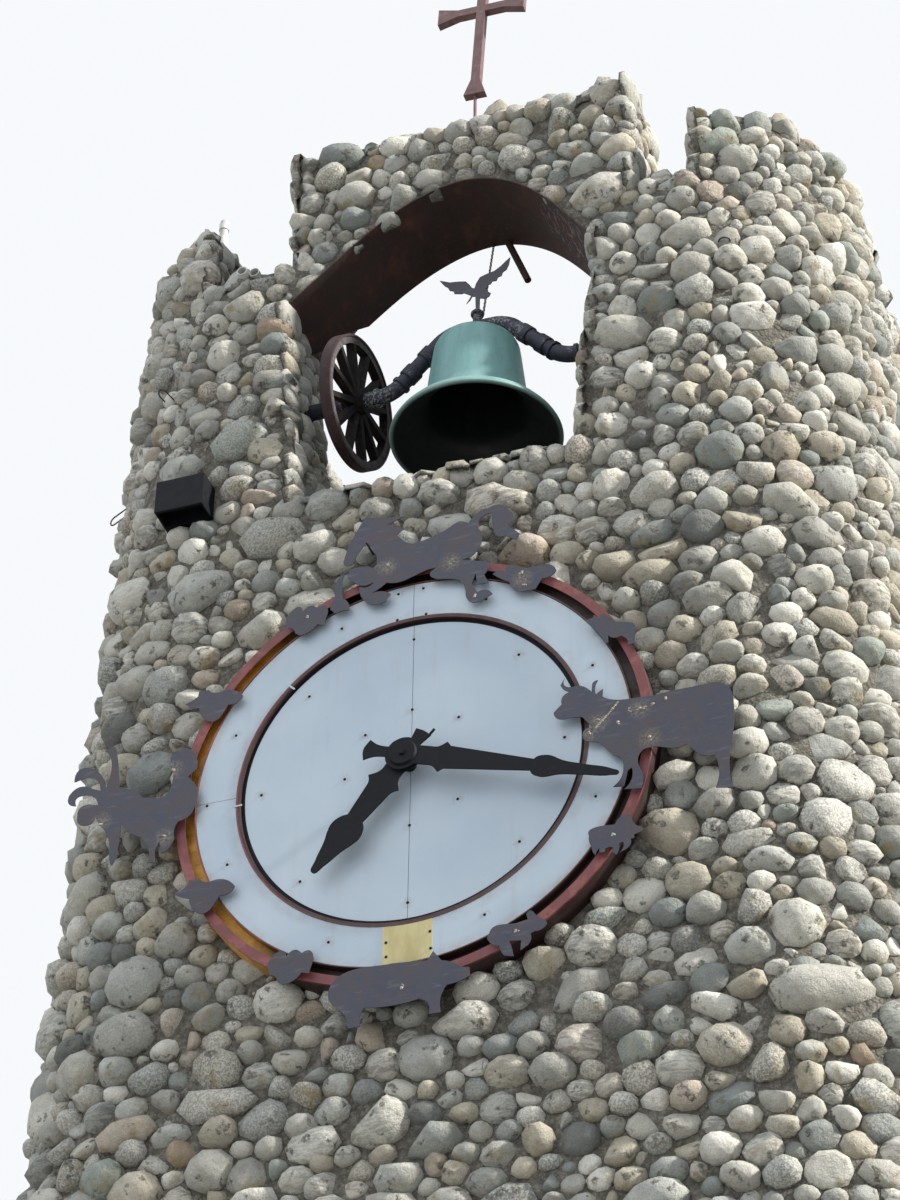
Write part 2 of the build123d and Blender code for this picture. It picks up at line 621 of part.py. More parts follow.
RABBIT = [
    [(-1435, 770), (-1395, 795)], [(-1390, 830)], [(-1325, 830)], [(-1290, 800), (-1250, 795)],
    [(-1170, 795), (-1090, 730)], [(-1115, 695), (-1185, 685)], [(-1210, 640), (-1230, 610)],
    [(-1265, 580), (-1340, 605)], [(-1370, 655), (-1380, 700)], [(-1430, 720), (-1480, 755)],
]


def outline(stretches, shift=(0, 0)):
    """Closed outline on the current sketch, moved as a whole by shift."""
    moved = [[(x + shift[0], z + shift[1]) for x, z in stretch] for stretch in stretches]
    start = moved[-1][-1]
    with BuildLine() as edge:
        for stretch in moved:
            if len(stretch) == 1:
                Line(start, stretch[0])
            else:
                Spline(start, *stretch)
            start = stretch[-1]
    make_face(edge.edges())


def on_rim(degrees):
    """Point on the middle of the rim's lip, measured from three o'clock."""
    radius = RIM_OUTER - RIM_LIP / 2
    return (radius * math.cos(math.radians(degrees)), radius * math.sin(math.radians(degrees)))


def animal(stretches, rim_degrees, wall_points=(), round_corner=False, shift=(0, 0)):
    """Flat steel silhouette on stand-off pins to the rim and, where it reaches past it, the wall."""
    back = PLATE_OFFSET - PLATE
    with BuildPart() as figure:
        with BuildSketch(dial_plane(PLATE_OFFSET)):
            outline(stretches, shift)
        extrude(amount=-PLATE)
        with BuildSketch(dial_plane(back)):
            with Locations(*[on_rim(degrees) for degrees in rim_degrees]):
                Circle(PIN_RADIUS)
        extrude(amount=-(back - RIM_PROUD))
        if wall_points:
            with BuildSketch(dial_plane(back)):
                with Locations(*wall_points):
                    Circle(PIN_RADIUS)
            extrude(amount=-(DIAL_GAP + back))
        if round_corner:
            with BuildSketch(dial_plane(-DIAL_GAP)):
                with Locations(*wall_points):
                    Circle(PIN_RADIUS)
            extrude(amount=-DIAL_GAP)
            add(skin.part, mode=Mode.SUBTRACT)
    return figure


save(animal(HORSE, [86, 98], [(-330, 1800), (300, 1680)]), "horse_plate")
save(animal(COW, [2, -8], [(1740, -60)]), "cow_plate")
save(animal(ROOSTER, [172, 180], [(-1900, 60)], round_corner=True), "rooster_plate")
save(animal(SOW, [-84, -97]), "sow_plate")

SMALLER = [
    (RUNNING_RABBIT, 57, (0, 0)),
    (LAMB, 28.5, (0, 0)),
    (PIG, -33, (0, 0)),
    (PIGLET, -63, (0, 0)),
    (SHEEP, -118, (10, -2520)),
    (RABBIT, -152, (30, -1400)),
    (RABBIT, 151, (0, 0)),
    (CAT, 109.5, (0, 0)),
    (SHEEP, 120, (0, 0)),
]
with BuildPart() as small_plates:
    for stretches, rim_degrees, shift in SMALLER:
        add(animal(stretches, [rim_degrees], shift=shift).part)
save(small_plates, "small_animal_plates")

# Bell: outside and inside profiles revolved about its own upright axis
LIP_Z = AXIS_Z - BELL_LIP_BELOW
LIP_HEIGHT = 12
FLARE_Z = 0.126 * BELL_HEIGHT
THROAT_Z = 0.28 * BELL_HEIGHT
WAIST_Z = 0.67 * BELL_HEIGHT
SHOULDER_Z = 0.853 * BELL_HEIGHT
CROWN_EDGE_Z = 0.953 * BELL_HEIGHT
THROAT = 0.667 * BELL_MOUTH
LOWER_WAIST_Z = (THROAT_Z + WAIST_Z) / 2 - 20
LOWER_WAIST = (THROAT + BELL_WAIST) / 2 - 8
CROWN_TOP = BELL_HEIGHT + 4
bell_plane = Plane(origin=(BELL_X, AXIS_Y, LIP_Z), x_dir=(1, 0, 0), z_dir=(0, -1, 0))
with BuildPart() as bell:
    with BuildSketch(bell_plane):
        with BuildLine():
            waist = Spline((BELL_MOUTH, LIP_HEIGHT), (BELL_MOUTH - 70, FLARE_Z), (THROAT, THROAT_Z),
                           (LOWER_WAIST, LOWER_WAIST_Z), (BELL_WAIST, WAIST_Z),
                           (BELL_SHOULDER, SHOULDER_Z), (0.72 * BELL_SHOULDER, CROWN_EDGE_Z),
                           (BELL_CROWN, BELL_HEIGHT), (0, CROWN_TOP), tangents=[(-1, 3), (-1, 0)])
            cavity = Spline((BELL_MOUTH - BELL_WALL - 6, 0), (BELL_MOUTH - 70 - 2 * BELL_WALL, FLARE_Z),
                            (THROAT - BELL_WALL, THROAT_Z - 10),
                            (LOWER_WAIST - BELL_WALL, LOWER_WAIST_Z - 10),
                            (BELL_WAIST - BELL_WALL, WAIST_Z - 20),
                            (BELL_SHOULDER - BELL_WALL, SHOULDER_Z - BELL_WALL),
                            (0.57 * BELL_SHOULDER, CROWN_EDGE_Z - BELL_WALL),
                            (0, BELL_HEIGHT - BELL_WALL), tangents=[(-1, 1.2), (-1, 0)])
            Line(waist @ 1, cavity @ 1)
            Line(cavity @ 0, waist @ 0)
        make_face()
    revolve(axis=Axis((BELL_X, AXIS_Y, LIP_Z), (0, 0, 1)))
save(bell, "bell")

# Yoke: one cranked pipe from bearing to bearing, over the crown
CROWN_OF_BELL = LIP_Z + CROWN_TOP
POST_TOP = YOKE_TOP_Z + POST_ABOVE
END_PLAY = 10
LEFT_END = LEFT_POCKET + END_PLAY
RIGHT_END = RIGHT_POCKET - END_PLAY
LEFT_ELBOW = (BELL_X - YOKE_REACH, AXIS_Y, AXIS_Z)
LEFT_TOP = (BELL_X - YOKE_SHOULDER, AXIS_Y, YOKE_TOP_Z)
RIGHT_TOP = (BELL_X + YOKE_SHOULDER, AXIS_Y, YOKE_TOP_Z)
RIGHT_ELBOW = (BELL_X + YOKE_REACH, AXIS_Y, AXIS_Z)
with BuildPart() as yoke:
    with BuildLine() as route:
        FilletPolyline((LEFT_END, AXIS_Y, AXIS_Z), LEFT_ELBOW, LEFT_TOP, RIGHT_TOP, RIGHT_ELBOW,
                       (RIGHT_END, AXIS_Y, AXIS_Z), radius=YOKE_BEND)
    with BuildSketch(Plane(origin=(LEFT_END, AXIS_Y, AXIS_Z), z_dir=(1, 0, 0))):
        Circle(YOKE_RADIUS)
    sweep(path=route.line)
    with Locations((BELL_X, AXIS_Y, (CROWN_OF_BELL + POST_TOP) / 2)):
        Cylinder(POST_RADIUS, POST_TOP - CROWN_OF_BELL)
save(yoke, "yoke")


def coupling(from_point, to_point, share):
    """Threaded collar round one sloping arm of the yoke, at a share of its length."""
    x = from_point[0] + share * (to_point[0] - from_point[0])
    z = from_point[2] + share * (to_point[2] - from_point[2])
    slope = (to_point[0] - from_point[0], 0, to_point[2] - from_point[2])
    with BuildPart() as collar:
        with BuildSketch(Plane(origin=(x, AXIS_Y, z), z_dir=slope)):
            Circle(YOKE_RADIUS + COUPLING_WALL)
            Circle(YOKE_RADIUS, mode=Mode.SUBTRACT)
        extrude(amount=COUPLING_LENGTH / 2, both=True)
    return collar.part


with BuildPart() as couplings:
    for share in (0.3, 0.56):
        add(coupling(LEFT_ELBOW, LEFT_TOP, share))
        add(coupling(RIGHT_ELBOW, RIGHT_TOP, share))
save(couplings, "yoke_couplings")


def bearing(name, inner_x, outward):
    """Steel sleeve let into the jamb, a running fit on the yoke's end."""
    with BuildPart() as sleeve:
        with Locations(Plane.YZ.offset(inner_x + outward * BEARING_LENGTH / 2)
                       * Location((AXIS_Y, AXIS_Z))):
            Cylinder(BEARING_RADIUS, BEARING_LENGTH)
            Cylinder(YOKE_RADIUS + JOURNAL_GAP, BEARING_LENGTH, mode=Mode.SUBTRACT)
    save(sleeve, name)


bearing("left_bearing", LEFT_POCKET + BEARING_LENGTH, -1)
bearing("right_bearing", RIGHT_POCKET - BEARING_LENGTH, 1)

# Wagon wheel, a little canted on its axle, with tapered spokes
wheel_plane = Plane(origin=(WHEEL_X, AXIS_Y, AXIS_Z), x_dir=(0, 1, 0),
                    z_dir=(1, WHEEL_CANT_Y, WHEEL_CANT_Z))
FELLOE_OUTER = WHEEL_RADIUS - TYRE_DEPTH
FELLOE_INNER = FELLOE_OUTER - FELLOE_DEPTH
SPOKE_LENGTH = FELLOE_INNER - NAVE_RADIUS + 20
with BuildPart() as tyre:
    with BuildSketch(wheel_plane):
        Circle(WHEEL_RADIUS)
        Circle(FELLOE_OUTER, mode=Mode.SUBTRACT)
    extrude(amount=WHEEL_WIDTH / 2, both=True)
save(tyre, "wheel_tyre")
with BuildPart() as wheel:
    with BuildSketch(wheel_plane):
        Circle(FELLOE_OUTER)
        Circle(FELLOE_INNER, mode=Mode.SUBTRACT)
    extrude(amount=WHEEL_WIDTH / 2 - 8, both=True)
    with BuildSketch(wheel_plane):
        with PolarLocations((FELLOE_INNER + NAVE_RADIUS) / 2, SPOKES):
            Trapezoid(SPOKE_ROOT, SPOKE_LENGTH, 90 - math.degrees(
                math.atan((SPOKE_ROOT - SPOKE_TIP) / 2 / SPOKE_LENGTH)), rotation=-90)
    extrude(amount=SPOKE_THICK / 2, both=True)
    with BuildSketch(wheel_plane):
        Circle(NAVE_RADIUS)
    extrude(amount=NAVE_HALF, both=True)
    with Locations(Plane.YZ.offset(WHEEL_X) * Location((AXIS_Y, AXIS_Z))):
        Cylinder(YOKE_RADIUS, 4 * NAVE_HALF, mode=Mode.SUBTRACT)
save(wheel, "wheel_spokes")

# Eagle silhouette standing on the crown post, in x and z with the feet at EAGLE_FEET
EAGLE = [
    [(-165, 1000), (-120, 985), (-60, 990)], [(0, 950)], [(20, 970)],
    [(60, 1010), (130, 1040), (170, 1085)], [(165, 990), (130, 900)], [(80, 850)], [(105, 800)],
    [(60, 770), (22, EAGLE_FEET)], [(-22, EAGLE_FEET)], [(-40, 850)], [(-90, 900), (-150, 940)],
    [(-190, 1010)],
]
EAGLE_PLATE = 8
with BuildPart() as eagle:
    with BuildSketch(Plane.XZ.offset(-AXIS_Y + EAGLE_PLATE / 2)):
        outline(EAGLE, (BELL_X, POST_TOP - EAGLE_FEET))
    extrude(amount=-EAGLE_PLATE)
save(eagle, "eagle")

# Chain in two lengths on one straight line: the upper hangs from the arch, the lower is the bell's
chain_high = Vector(CHAIN_TOP[0], CHAIN_TOP[1], SPRING_Z + CROWN_RISE + 60)
chain_low = Vector(BELL_X + 30, AXIS_Y + POST_RADIUS + CHAIN_RADIUS, YOKE_TOP_Z + 30)
chain_run = chain_low - chain_high
part_share = CHAIN_SLACK / chain_run.length


def chain_length(from_point, to_point, cut):
    """Slim rod along one length of chain, trimmed to what it hangs from."""
    with BuildPart() as length:
        with BuildSketch(Plane(origin=from_point, z_dir=to_point - from_point)):
            Circle(CHAIN_RADIUS)
        extrude(amount=(to_point - from_point).length)
        for other in cut:
            add(other, mode=Mode.SUBTRACT)
    return Part([length.part.solids().sort_by(Axis.Z)[0]])


tether_chain = BuildPart()
with tether_chain:
    add(chain_length(chain_high, chain_high + chain_run * CHAIN_PART, [gable.part, lining.part]))
save(tether_chain, "tether_chain")
crown_chain = BuildPart()
with crown_chain:
    add(chain_length(chain_high + chain_run * (CHAIN_PART + part_share), chain_low, [yoke.part]))
save(crown_chain, "crown_chain")

# Cross with four flared ends, leaning a little, on a rod let into the gable
lean = math.radians(CROSS_LEAN)
rod_top = PARAPET_HEIGHT + ROD_HEIGHT
stem = CROSS_HEIGHT - ARM_REACH
cross_y = FRONT_Y + CROSS_BACK
crossing = (CROSS_X + stem * math.sin(lean), cross_y - CROSS_THICK / 2, rod_top + stem * math.cos(lean))
flare_angle = math.degrees(math.atan(2 * FLARE_LENGTH / (CROSS_FLARE - CROSS_BAR)))
with BuildPart() as gable_cross:
    with BuildSketch(Plane(origin=crossing, x_dir=(math.cos(lean), 0, -math.sin(lean)),
                           z_dir=(0, -1, 0))):
        for reach, turn in ((stem, 180), (ARM_REACH, 0), (ARM_REACH, 90), (ARM_REACH, -90)):
            with Locations(Location((0, 0, 0), (0, 0, turn))):
                with Locations((0, reach / 2)):
                    Rectangle(CROSS_BAR, reach)
                with Locations((0, reach - FLARE_LENGTH / 2)):
                    Trapezoid(CROSS_FLARE, FLARE_LENGTH, flare_angle, rotation=180)
        Rectangle(CROSS_BAR, CROSS_BAR)
    extrude(amount=-CROSS_THICK)
    with Locations((CROSS_X, cross_y, (PARAPET_HEIGHT + rod_top + ROD_RADIUS) / 2)):
        Cylinder(ROD_RADIUS, ROD_HEIGHT + ROD_RADIUS)
save(gable_cross, "gable_cross")

# Vent pipe on the left merlon
with BuildPart() as vent:
    with Locations((VENT_X, VENT_Y, MERLON_TOP + VENT_HEIGHT / 2)):
        Cylinder(VENT_RADIUS, VENT_HEIGHT)
    with Locations((VENT_X, VENT_Y, MERLON_TOP + VENT_HEIGHT - VENT_COLLAR)):
        Cylinder(1.2 * VENT_RADIUS, VENT_COLLAR)
save(vent, "vent_pipe")

# Box fixed to the rounded corner left of the belfry, open underneath
with BuildPart() as wall_box:
    with BuildSketch(Plane.XZ.offset(-FRONT_Y + WALL_BOX_PROUD)):
        with Locations(WALL_BOX):
            Rectangle(*WALL_BOX_SIZE)
    extrude(amount=-3 * WALL_BOX_PROUD)
    add(skin.part, mode=Mode.SUBTRACT)
    box_front = FRONT_Y - WALL_BOX_PROUD
    with Locations((WALL_BOX[0], box_front + WALL_BOX_PROUD / 2, WALL_BOX[1] - WALL_BOX_SIZE[1] / 2)):
        Box(WALL_BOX_SIZE[0] - 24, WALL_BOX_PROUD - 40, WALL_BOX_SIZE[1] - 40, mode=Mode.SUBTRACT)
save(wall_box, "wall_box")

# Two pipe stubs lying side by side in the left crenel
with BuildPart() as stubs:
    for row in (0, 1):
        stub_x = STUB_X + row * (2 * STUB_RADIUS + 1)
        with Locations(Plane.XZ.offset(-FRONT_Y + STUB_PROUD - STUB_STAGGER * row - STUB_LENGTH / 2)
                       * Location((stub_x, WALL_HEIGHT + STUB_RADIUS))):
            Cylinder(STUB_RADIUS, STUB_LENGTH)
            Cylinder(STUB_RADIUS - STUB_WALL, STUB_LENGTH, mode=Mode.SUBTRACT)
save(stubs, "pipe_stubs")

# Bent wire loops let into the masonry left of the clock and a hook right of the belfry
HOOK_PLACES = [
    # Root on the skin, heading from the front, pitch and reach
    (510 - HALF_TOP, FRONT_Y + 127, SILL_Z + 1260, -41, 35, 150),
    (-HALF_TOP, FRONT_Y + 664, SILL_Z + 920, -67, -48, 230),
    (HALF_TOP - 670, FRONT_Y + 50, SILL_Z + 1510, 20, 0, 60),
]
with BuildPart() as hooks:
    for x, y, z, heading, pitch, reach in HOOK_PLACES:
        level = Plane(origin=(x, y, z), x_dir=(0, -1, 0), z_dir=(0, 0, 1)).location
        out = Plane(level * Location((0, 0, 0), (0, 0, heading)) * Location((0, 0, 0), (0, -pitch, 0)))
        with BuildLine(out) as loop:
            FilletPolyline((-CORNER_RADIUS / 2, -HOOK_WIDTH / 2), (reach, -HOOK_WIDTH / 2),
                           (reach, HOOK_WIDTH / 2), (-CORNER_RADIUS / 2, HOOK_WIDTH / 2),
                           radius=HOOK_WIDTH / 2.1)
        with BuildSketch(Plane(origin=loop.line @ 0, z_dir=loop.line % 0)):
            Circle(HOOK_RADIUS)
        sweep(path=loop.line)
    add(skin.part, mode=Mode.SUBTRACT)
save(hooks, "wall_hooks")
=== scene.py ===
"""Looks of the cobblestone clock tower, laid out as an add-on and run as a script.

Lengths are metres, +Z is up and the clock looks along -Y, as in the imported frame.
"""
import json
import math

import bmesh
import bpy
import numpy as np
from bpy.props import FloatProperty, FloatVectorProperty, IntProperty, PointerProperty
from bpy.types import Operator, Panel, PropertyGroup
from mathutils import Matrix, Vector


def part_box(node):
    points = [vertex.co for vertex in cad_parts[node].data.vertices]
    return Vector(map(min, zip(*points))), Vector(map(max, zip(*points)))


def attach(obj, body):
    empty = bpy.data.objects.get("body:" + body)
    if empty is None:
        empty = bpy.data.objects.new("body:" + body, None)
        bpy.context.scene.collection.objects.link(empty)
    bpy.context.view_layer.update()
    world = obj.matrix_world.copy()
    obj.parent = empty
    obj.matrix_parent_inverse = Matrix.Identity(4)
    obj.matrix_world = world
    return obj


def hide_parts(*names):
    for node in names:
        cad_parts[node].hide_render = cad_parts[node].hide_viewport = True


bl_info = {
    "name": "Cobblestone Clock Tower",
    "version": (1, 0, 0),
    "blender": (4, 5, 0),
    "location": "View3D > Sidebar > Tower",
    "description": "Lays the cobbles, dresses the dial and hangs the belfry ironwork",
    "category": "Object",
}

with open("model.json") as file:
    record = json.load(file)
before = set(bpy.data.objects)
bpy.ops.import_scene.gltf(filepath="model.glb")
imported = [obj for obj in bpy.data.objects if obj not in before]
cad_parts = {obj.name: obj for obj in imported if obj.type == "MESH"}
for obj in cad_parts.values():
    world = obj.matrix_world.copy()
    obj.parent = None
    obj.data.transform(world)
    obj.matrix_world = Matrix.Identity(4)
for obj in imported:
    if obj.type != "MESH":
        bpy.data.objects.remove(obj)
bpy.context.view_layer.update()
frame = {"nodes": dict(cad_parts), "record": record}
NODES = frame["nodes"]

# Walls, read from the frame
FRONT_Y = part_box("arch_gable")[0].y
ROOM_BACK_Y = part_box("arch_gable")[1].y
GABLE_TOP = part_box("arch_gable")[1].z
MERLON_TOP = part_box("back_wall")[1].z
CRENEL_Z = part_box("left_jamb")[1].z + 0.4
HALF_TOP = -FRONT_Y
HALF_FOOT = -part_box("left_wall")[0].x
ROOM_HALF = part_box("belfry_floor")[1].x
FLOOR_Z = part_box("belfry_floor")[1].z
SILL_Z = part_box("front_wall")[1].z
SPRING_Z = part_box("left_jamb")[1].z
CORNER_RADIUS = 1.1
ROOM_RADIUS = 0.5

# Belfry opening and crenels, as the part has them
LEFT_FOOT, LEFT_HEAD = -1.06, -1.20
RIGHT_FOOT, RIGHT_HEAD = 0.96, 1.01
LEDGE = 0.07
LEDGE_Z = 15.23
ARCH_POINTS = [(-1.21, 0.0), (-0.757, 0.405), (-0.264, 0.749), (0.13, 0.83), (0.443, 0.709),
               (0.756, 0.385), (1.02, 0.0)]
FRONT_CRENELS = [(-1.82, -1.18), (1.30, 1.73)]
SIDE_CRENELS = [(-1.0, -0.45), (0.45, 1.0)]
BACK_CRENELS = [(-1.5, -0.9), (0.9, 1.5)]

# Dial, read from the frame
DIAL_LOW, DIAL_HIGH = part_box("dial_ring")
DIAL = Vector(((DIAL_LOW.x + DIAL_HIGH.x) / 2, DIAL_LOW.y, (DIAL_LOW.z + DIAL_HIGH.z) / 2))
RIM_RADIUS = (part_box("clock_rim")[1].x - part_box("clock_rim")[0].x) / 2
BOX_LOW, BOX_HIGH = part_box("wall_box")

# Fixings of the dial, from its centre and in x and z
EIGHTH = math.pi / 4
SHEET_SCREWS = [(r * math.cos(a * EIGHTH), r * math.sin(a * EIGHTH)) for r, first in
                ((1.235, 0.5), (0.955, 0.0), (0.42, 0.0)) for a in np.arange(8) + first]
SHEET_SCREWS += [(-0.103, 1.322), (0.061, 1.328), (-1.301, -0.016)]
PATCH_SCREWS = [(-0.118, -1.215), (-0.115, -1.31), (0.147, -1.19), (0.153, -1.303)]
HOOP_BOLTS = [(1.123 * math.cos(math.radians(a)), 1.123 * math.sin(math.radians(a)))
              for a in (95.4, 85.8)]
CLEATS = [(-1.095, -0.062), (-0.786, 0.755)]
WELD_SPOTS = [(1.37, 0.056), (1.428, 0.056), (1.473, 0.053), (1.509, 0.059), (1.585, 0.089),
              (1.124, -0.053), (1.184, 0.023), (1.484, -0.175), (1.305, -0.018), (0.257, 1.449),
              (-0.163, 1.535), (0.71, 1.249), (0.738, 1.15), (0.411, 1.135), (-0.693, 1.247),
              (-1.521, 0.266), (-1.545, -0.223), (-1.984, -0.042), (1.251, -0.79), (0.68, -1.318),
              (0.007, -1.549)]
NECK_SEAM = [(1.302, 0.127), (1.256, 0.07), (1.206, 0.017), (1.159, -0.033)]
WELD_BURNS = [(1.184, 0.01), (1.43, 0.05), (1.124, -0.053), (1.484, -0.175), (0.257, 1.449),
              (-0.163, 1.52), (0.72, 1.20), (-1.521, 0.266), (-1.545, -0.223), (-1.98, -0.02)]

# Outlines of the hands: how far along, how far out, and whether the point is a corner
SPADE = [(0.84, 0.039, 1), (0.857, 0.058, 0), (0.90, 0.072, 0), (0.935, 0.073, 0), (1.02, 0.048, 0),
         (1.16, 0.035, 0), (1.34, 0.020, 0), (1.385, 0.0, 0)]
MINUTE_OUTLINE = [(-0.262, 0.0, 0), (-0.240, 0.070, 1), (-0.18, 0.042, 0), (-0.107, 0.034, 1),
                  (-0.079, 0.079, 0), (0.0, 0.112, 0), (0.079, 0.079, 0), (0.092, 0.064, 1),
                  (0.16, 0.064, 0), (0.212, 0.067, 0), (0.262, 0.104, 1), (0.292, 0.078, 1), *SPADE]
HOUR_OUTLINE = [(-0.197, 0.0, 0), (-0.19, 0.058, 1), (-0.14, 0.046, 0), (-0.105, 0.038, 1),
                (-0.079, 0.079, 0), (0.0, 0.112, 0), (0.075, 0.083, 0), (0.088, 0.07, 1),
                (0.15, 0.073, 0), (0.208, 0.121, 1), (0.235, 0.095, 0), (0.26, 0.085, 1),
                (0.484, 0.060, 1), (0.515, 0.090, 0), (0.577, 0.112, 0), (0.633, 0.100, 0),
                (0.70, 0.072, 0), (0.824, 0.037, 0), (0.90, 0.0, 0)]

# Bell: radius and height above its lip, outside from lip to crown and inside from crown to lip
BELL_OUTSIDE = [(0.577, 0.0), (0.580, 0.012), (0.568, 0.036), (0.53, 0.085), (0.475, 0.135),
                (0.42, 0.178), (0.385, 0.212), (0.374, 0.222), (0.372, 0.234), (0.360, 0.255),
                (0.348, 0.31), (0.335, 0.42), (0.32, 0.56), (0.305, 0.70), (0.295, 0.775),
                (0.281, 0.810), (0.252, 0.829), (0.18, 0.840), (0.0, 0.846)]
BELL_INSIDE = [(0.0, 0.815), (0.17, 0.808), (0.24, 0.79), (0.262, 0.765), (0.273, 0.70),
               (0.29, 0.56), (0.305, 0.42), (0.318, 0.31), (0.33, 0.255), (0.35, 0.215),
               (0.385, 0.178), (0.435, 0.135), (0.49, 0.085), (0.535, 0.03), (0.548, 0.0)]
EAGLE = [(-0.276, 0.258), (-0.205, 0.220), (-0.134, 0.207), (-0.087, 0.193), (-0.058, 0.151),
         (-0.040, 0.116), (-0.021, 0.106), (-0.011, 0.149), (0.018, 0.202), (0.064, 0.218),
         (0.123, 0.231), (0.169, 0.263), (0.204, 0.298), (0.237, 0.327), (0.227, 0.260),
         (0.210, 0.219), (0.183, 0.201), (0.174, 0.170), (0.148, 0.163), (0.137, 0.134),
         (0.107, 0.136), (0.095, 0.113), (0.076, 0.114), (0.072, 0.085), (0.058, 0.080),
         (0.079, 0.043), (0.096, 0.024), (0.083, -0.003), (0.051, -0.011), (0.017, 0.002),
         (0.014, -0.14), (-0.010, -0.14), (-0.014, 0.028), (-0.039, 0.035), (-0.051, 0.008),
         (-0.076, -0.018), (-0.060, 0.011), (-0.044, 0.044), (-0.069, 0.064), (-0.098, 0.087),
         (-0.115, 0.084), (-0.168, 0.101), (-0.174, 0.127), (-0.204, 0.143), (-0.216, 0.174),
         (-0.240, 0.197), (-0.258, 0.226)]

# Bell: steps of its spin, and how deep below the outside and the crown its inside lies, which is
# painted black as painted shade
BELL_STEPS = 72
INSIDE_DEPTH, INSIDE_TOP = 0.012, 0.82

# Yoke, from the bell's middle and its top or, for the neck, the bell's lip: radius and bends of its
# pipe, its corners, how far it hangs below the solid's, then its neck, post, collar and fittings
YOKE_RADIUS, YOKE_BEND = 0.057, 0.09
YOKE_REACH, YOKE_SHOULDER, YOKE_RISE = 0.61, 0.205, 0.545
YOKE_DROP = 0.105
NECK_FOOT, NECK_WIDE, NECK_NARROW = 0.835, 0.085, 0.06
POST_RADIUS, POST_HEIGHT = 0.031, 0.165
COLLAR_RADIUS, COLLAR_LOW, COLLAR_HIGH = 0.046, 0.120, 0.145
COUPLING_RADIUS, COUPLING_HALF, COUPLING_PLACES = 0.067, 0.045, (0.36, 0.66)
BAND_RADIUS, BAND_NEAR, BAND_FAR = 0.068, 0.085, 0.115
EAGLE_FEET = 0.28

# Where the bell's lip hangs, lower than the solid's, and the middle of the wheel
BELL_DROP = 0.09
BELL_LIP = Vector((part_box("bell")[0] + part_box("bell")[1]) / 2)
BELL_LIP.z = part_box("bell")[0].z - BELL_DROP
WHEEL_MIDDLE = (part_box("wheel_tyre")[0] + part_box("wheel_tyre")[1]) / 2

# Chain above the eagle: its ends, and the wire, size and twist of its links
CHAIN_TOP = Vector((0.11, -1.95, 16.98))
CHAIN_FOOT = Vector((0.126, -2.249, 15.935))
LINK_WIRE, LINK_LENGTH, LINK_WIDTH = 0.0035, 0.034, 0.021
LINK_SIDES, LINK_STEPS = 6, 12
LINK_LAP = 2.2 * LINK_WIRE
LINK_TWIST = 0.35

# Hands: outline, angle from three o'clock and radius of the shaft
HANDS = {"minute_hand": (MINUTE_OUTLINE, -18, 0.011), "hour_hand": (HOUR_OUTLINE, -128, 0.021)}
HAND_PLATE = 0.008
HOUR_PIN, HOUR_PIN_RADIUS = ((-0.17, 0.046, 0), (-0.238, 0.05, 0)), 0.008
PLATE_EASE = 0.0012
MERGE = 1e-5

# Fixings: a screw's head, a cleat, and the spatter and beads of the welds, with how far they are
# sunk in the plates, their sizes, their depths and how much higher than wide they are
SCREW_RADIUS, SCREW_DEPTH = 0.0095, 0.006
CLEAT_SIZE, CLEAT_PROUD, CLEAT_EASE = (0.05, 0.005, 0.012), 0.004, 0.0015
SPATTER, SPATTER_SPREAD, SPATTER_SUNK = 3, 0.008, 0.0005
SPATTER_SIZES, SPATTER_DEPTH, SPATTER_SQUEEZES = (0.006, 0.011), 0.55, (0.7, 1.2)
SEAM_BEADS, BEAD_SUNK = 6, 0.001
BEAD_SIZES, BEAD_DEPTH, BEAD_SQUEEZES = (0.006, 0.009), 0.004, (0.8, 1.3)
WELD_SIDES = 8

# Stones: segments and rings of their template dome, and where it is cut off below
SEGMENTS, RINGS = 10, 5
DOME_CUT = -0.32
ANGLES = np.arange(SEGMENTS) * 2 * math.pi / SEGMENTS
CHORD = math.cos(2 * math.pi / SEGMENTS)

# Packing: how much wider than high the stones lie, the discs' share of the sheet, the rounds of
# pushing and the push for an overlap, the range of radii, and the inset from edges and from gaps
SQUEEZE = 1.22
FILL = 1.04
ROUNDS = 70
PUSH = 0.45
LEAST_SIZE, MOST_SIZE = 0.5, 2.0
EDGE_INSET, GAP_INSET = 0.8, 0.85

# Outlines: which pairs make one long stone, how near a neighbour is and how squarely it must lie
# to hold a stone in, how far a stone reaches alone, and how far its foot laps under the joint
LONG_SHARE, LONG_LEVEL, LONG_GAP = 0.10, 0.5, 1.1
NEIGHBOUR = 0.1
GRAZING = 0.08
REACH = 1.8
LEAST_OFFSET, LEAST_REACH = 0.02, 0.012
JOINT_SHARES, ROUNDINGS = (0.1, 1.0), (0.15, 0.5)
OVERLAP = 1.04

# Laying: rounds of drawing stones in from an edge, how they are eased after it, the smallest that
# is kept, and the part of the dome, from its foot up, that counts as a stone's edge
DRAW_ROUNDS, DRAW_IN = 7, 0.82
OWN_SHARE, BESIDE_SHARE = 0.5, 0.55
SMALLEST = 0.3
EDGE_LOW, EDGE_SPAN = -0.3, 0.9

# Bodies: how full they are across and upwards, their lumps by waves and strength, and for each
# flattening plane the share of stones that it breaks, its tilts, its depths and how flat it leaves
FULLNESS, LIFTS = (0.7, 1.05), (0.6, 1.05)
LUMPS = ((1, 0.2), (2, 0.14), (3, 0.12))
BROKEN_SHARES = (0.42, 0.25)
TILTS, DEPTHS, UNBROKEN = (0.2, 1.15), (0.4, 0.72), 9
FLATTENING = 0.94

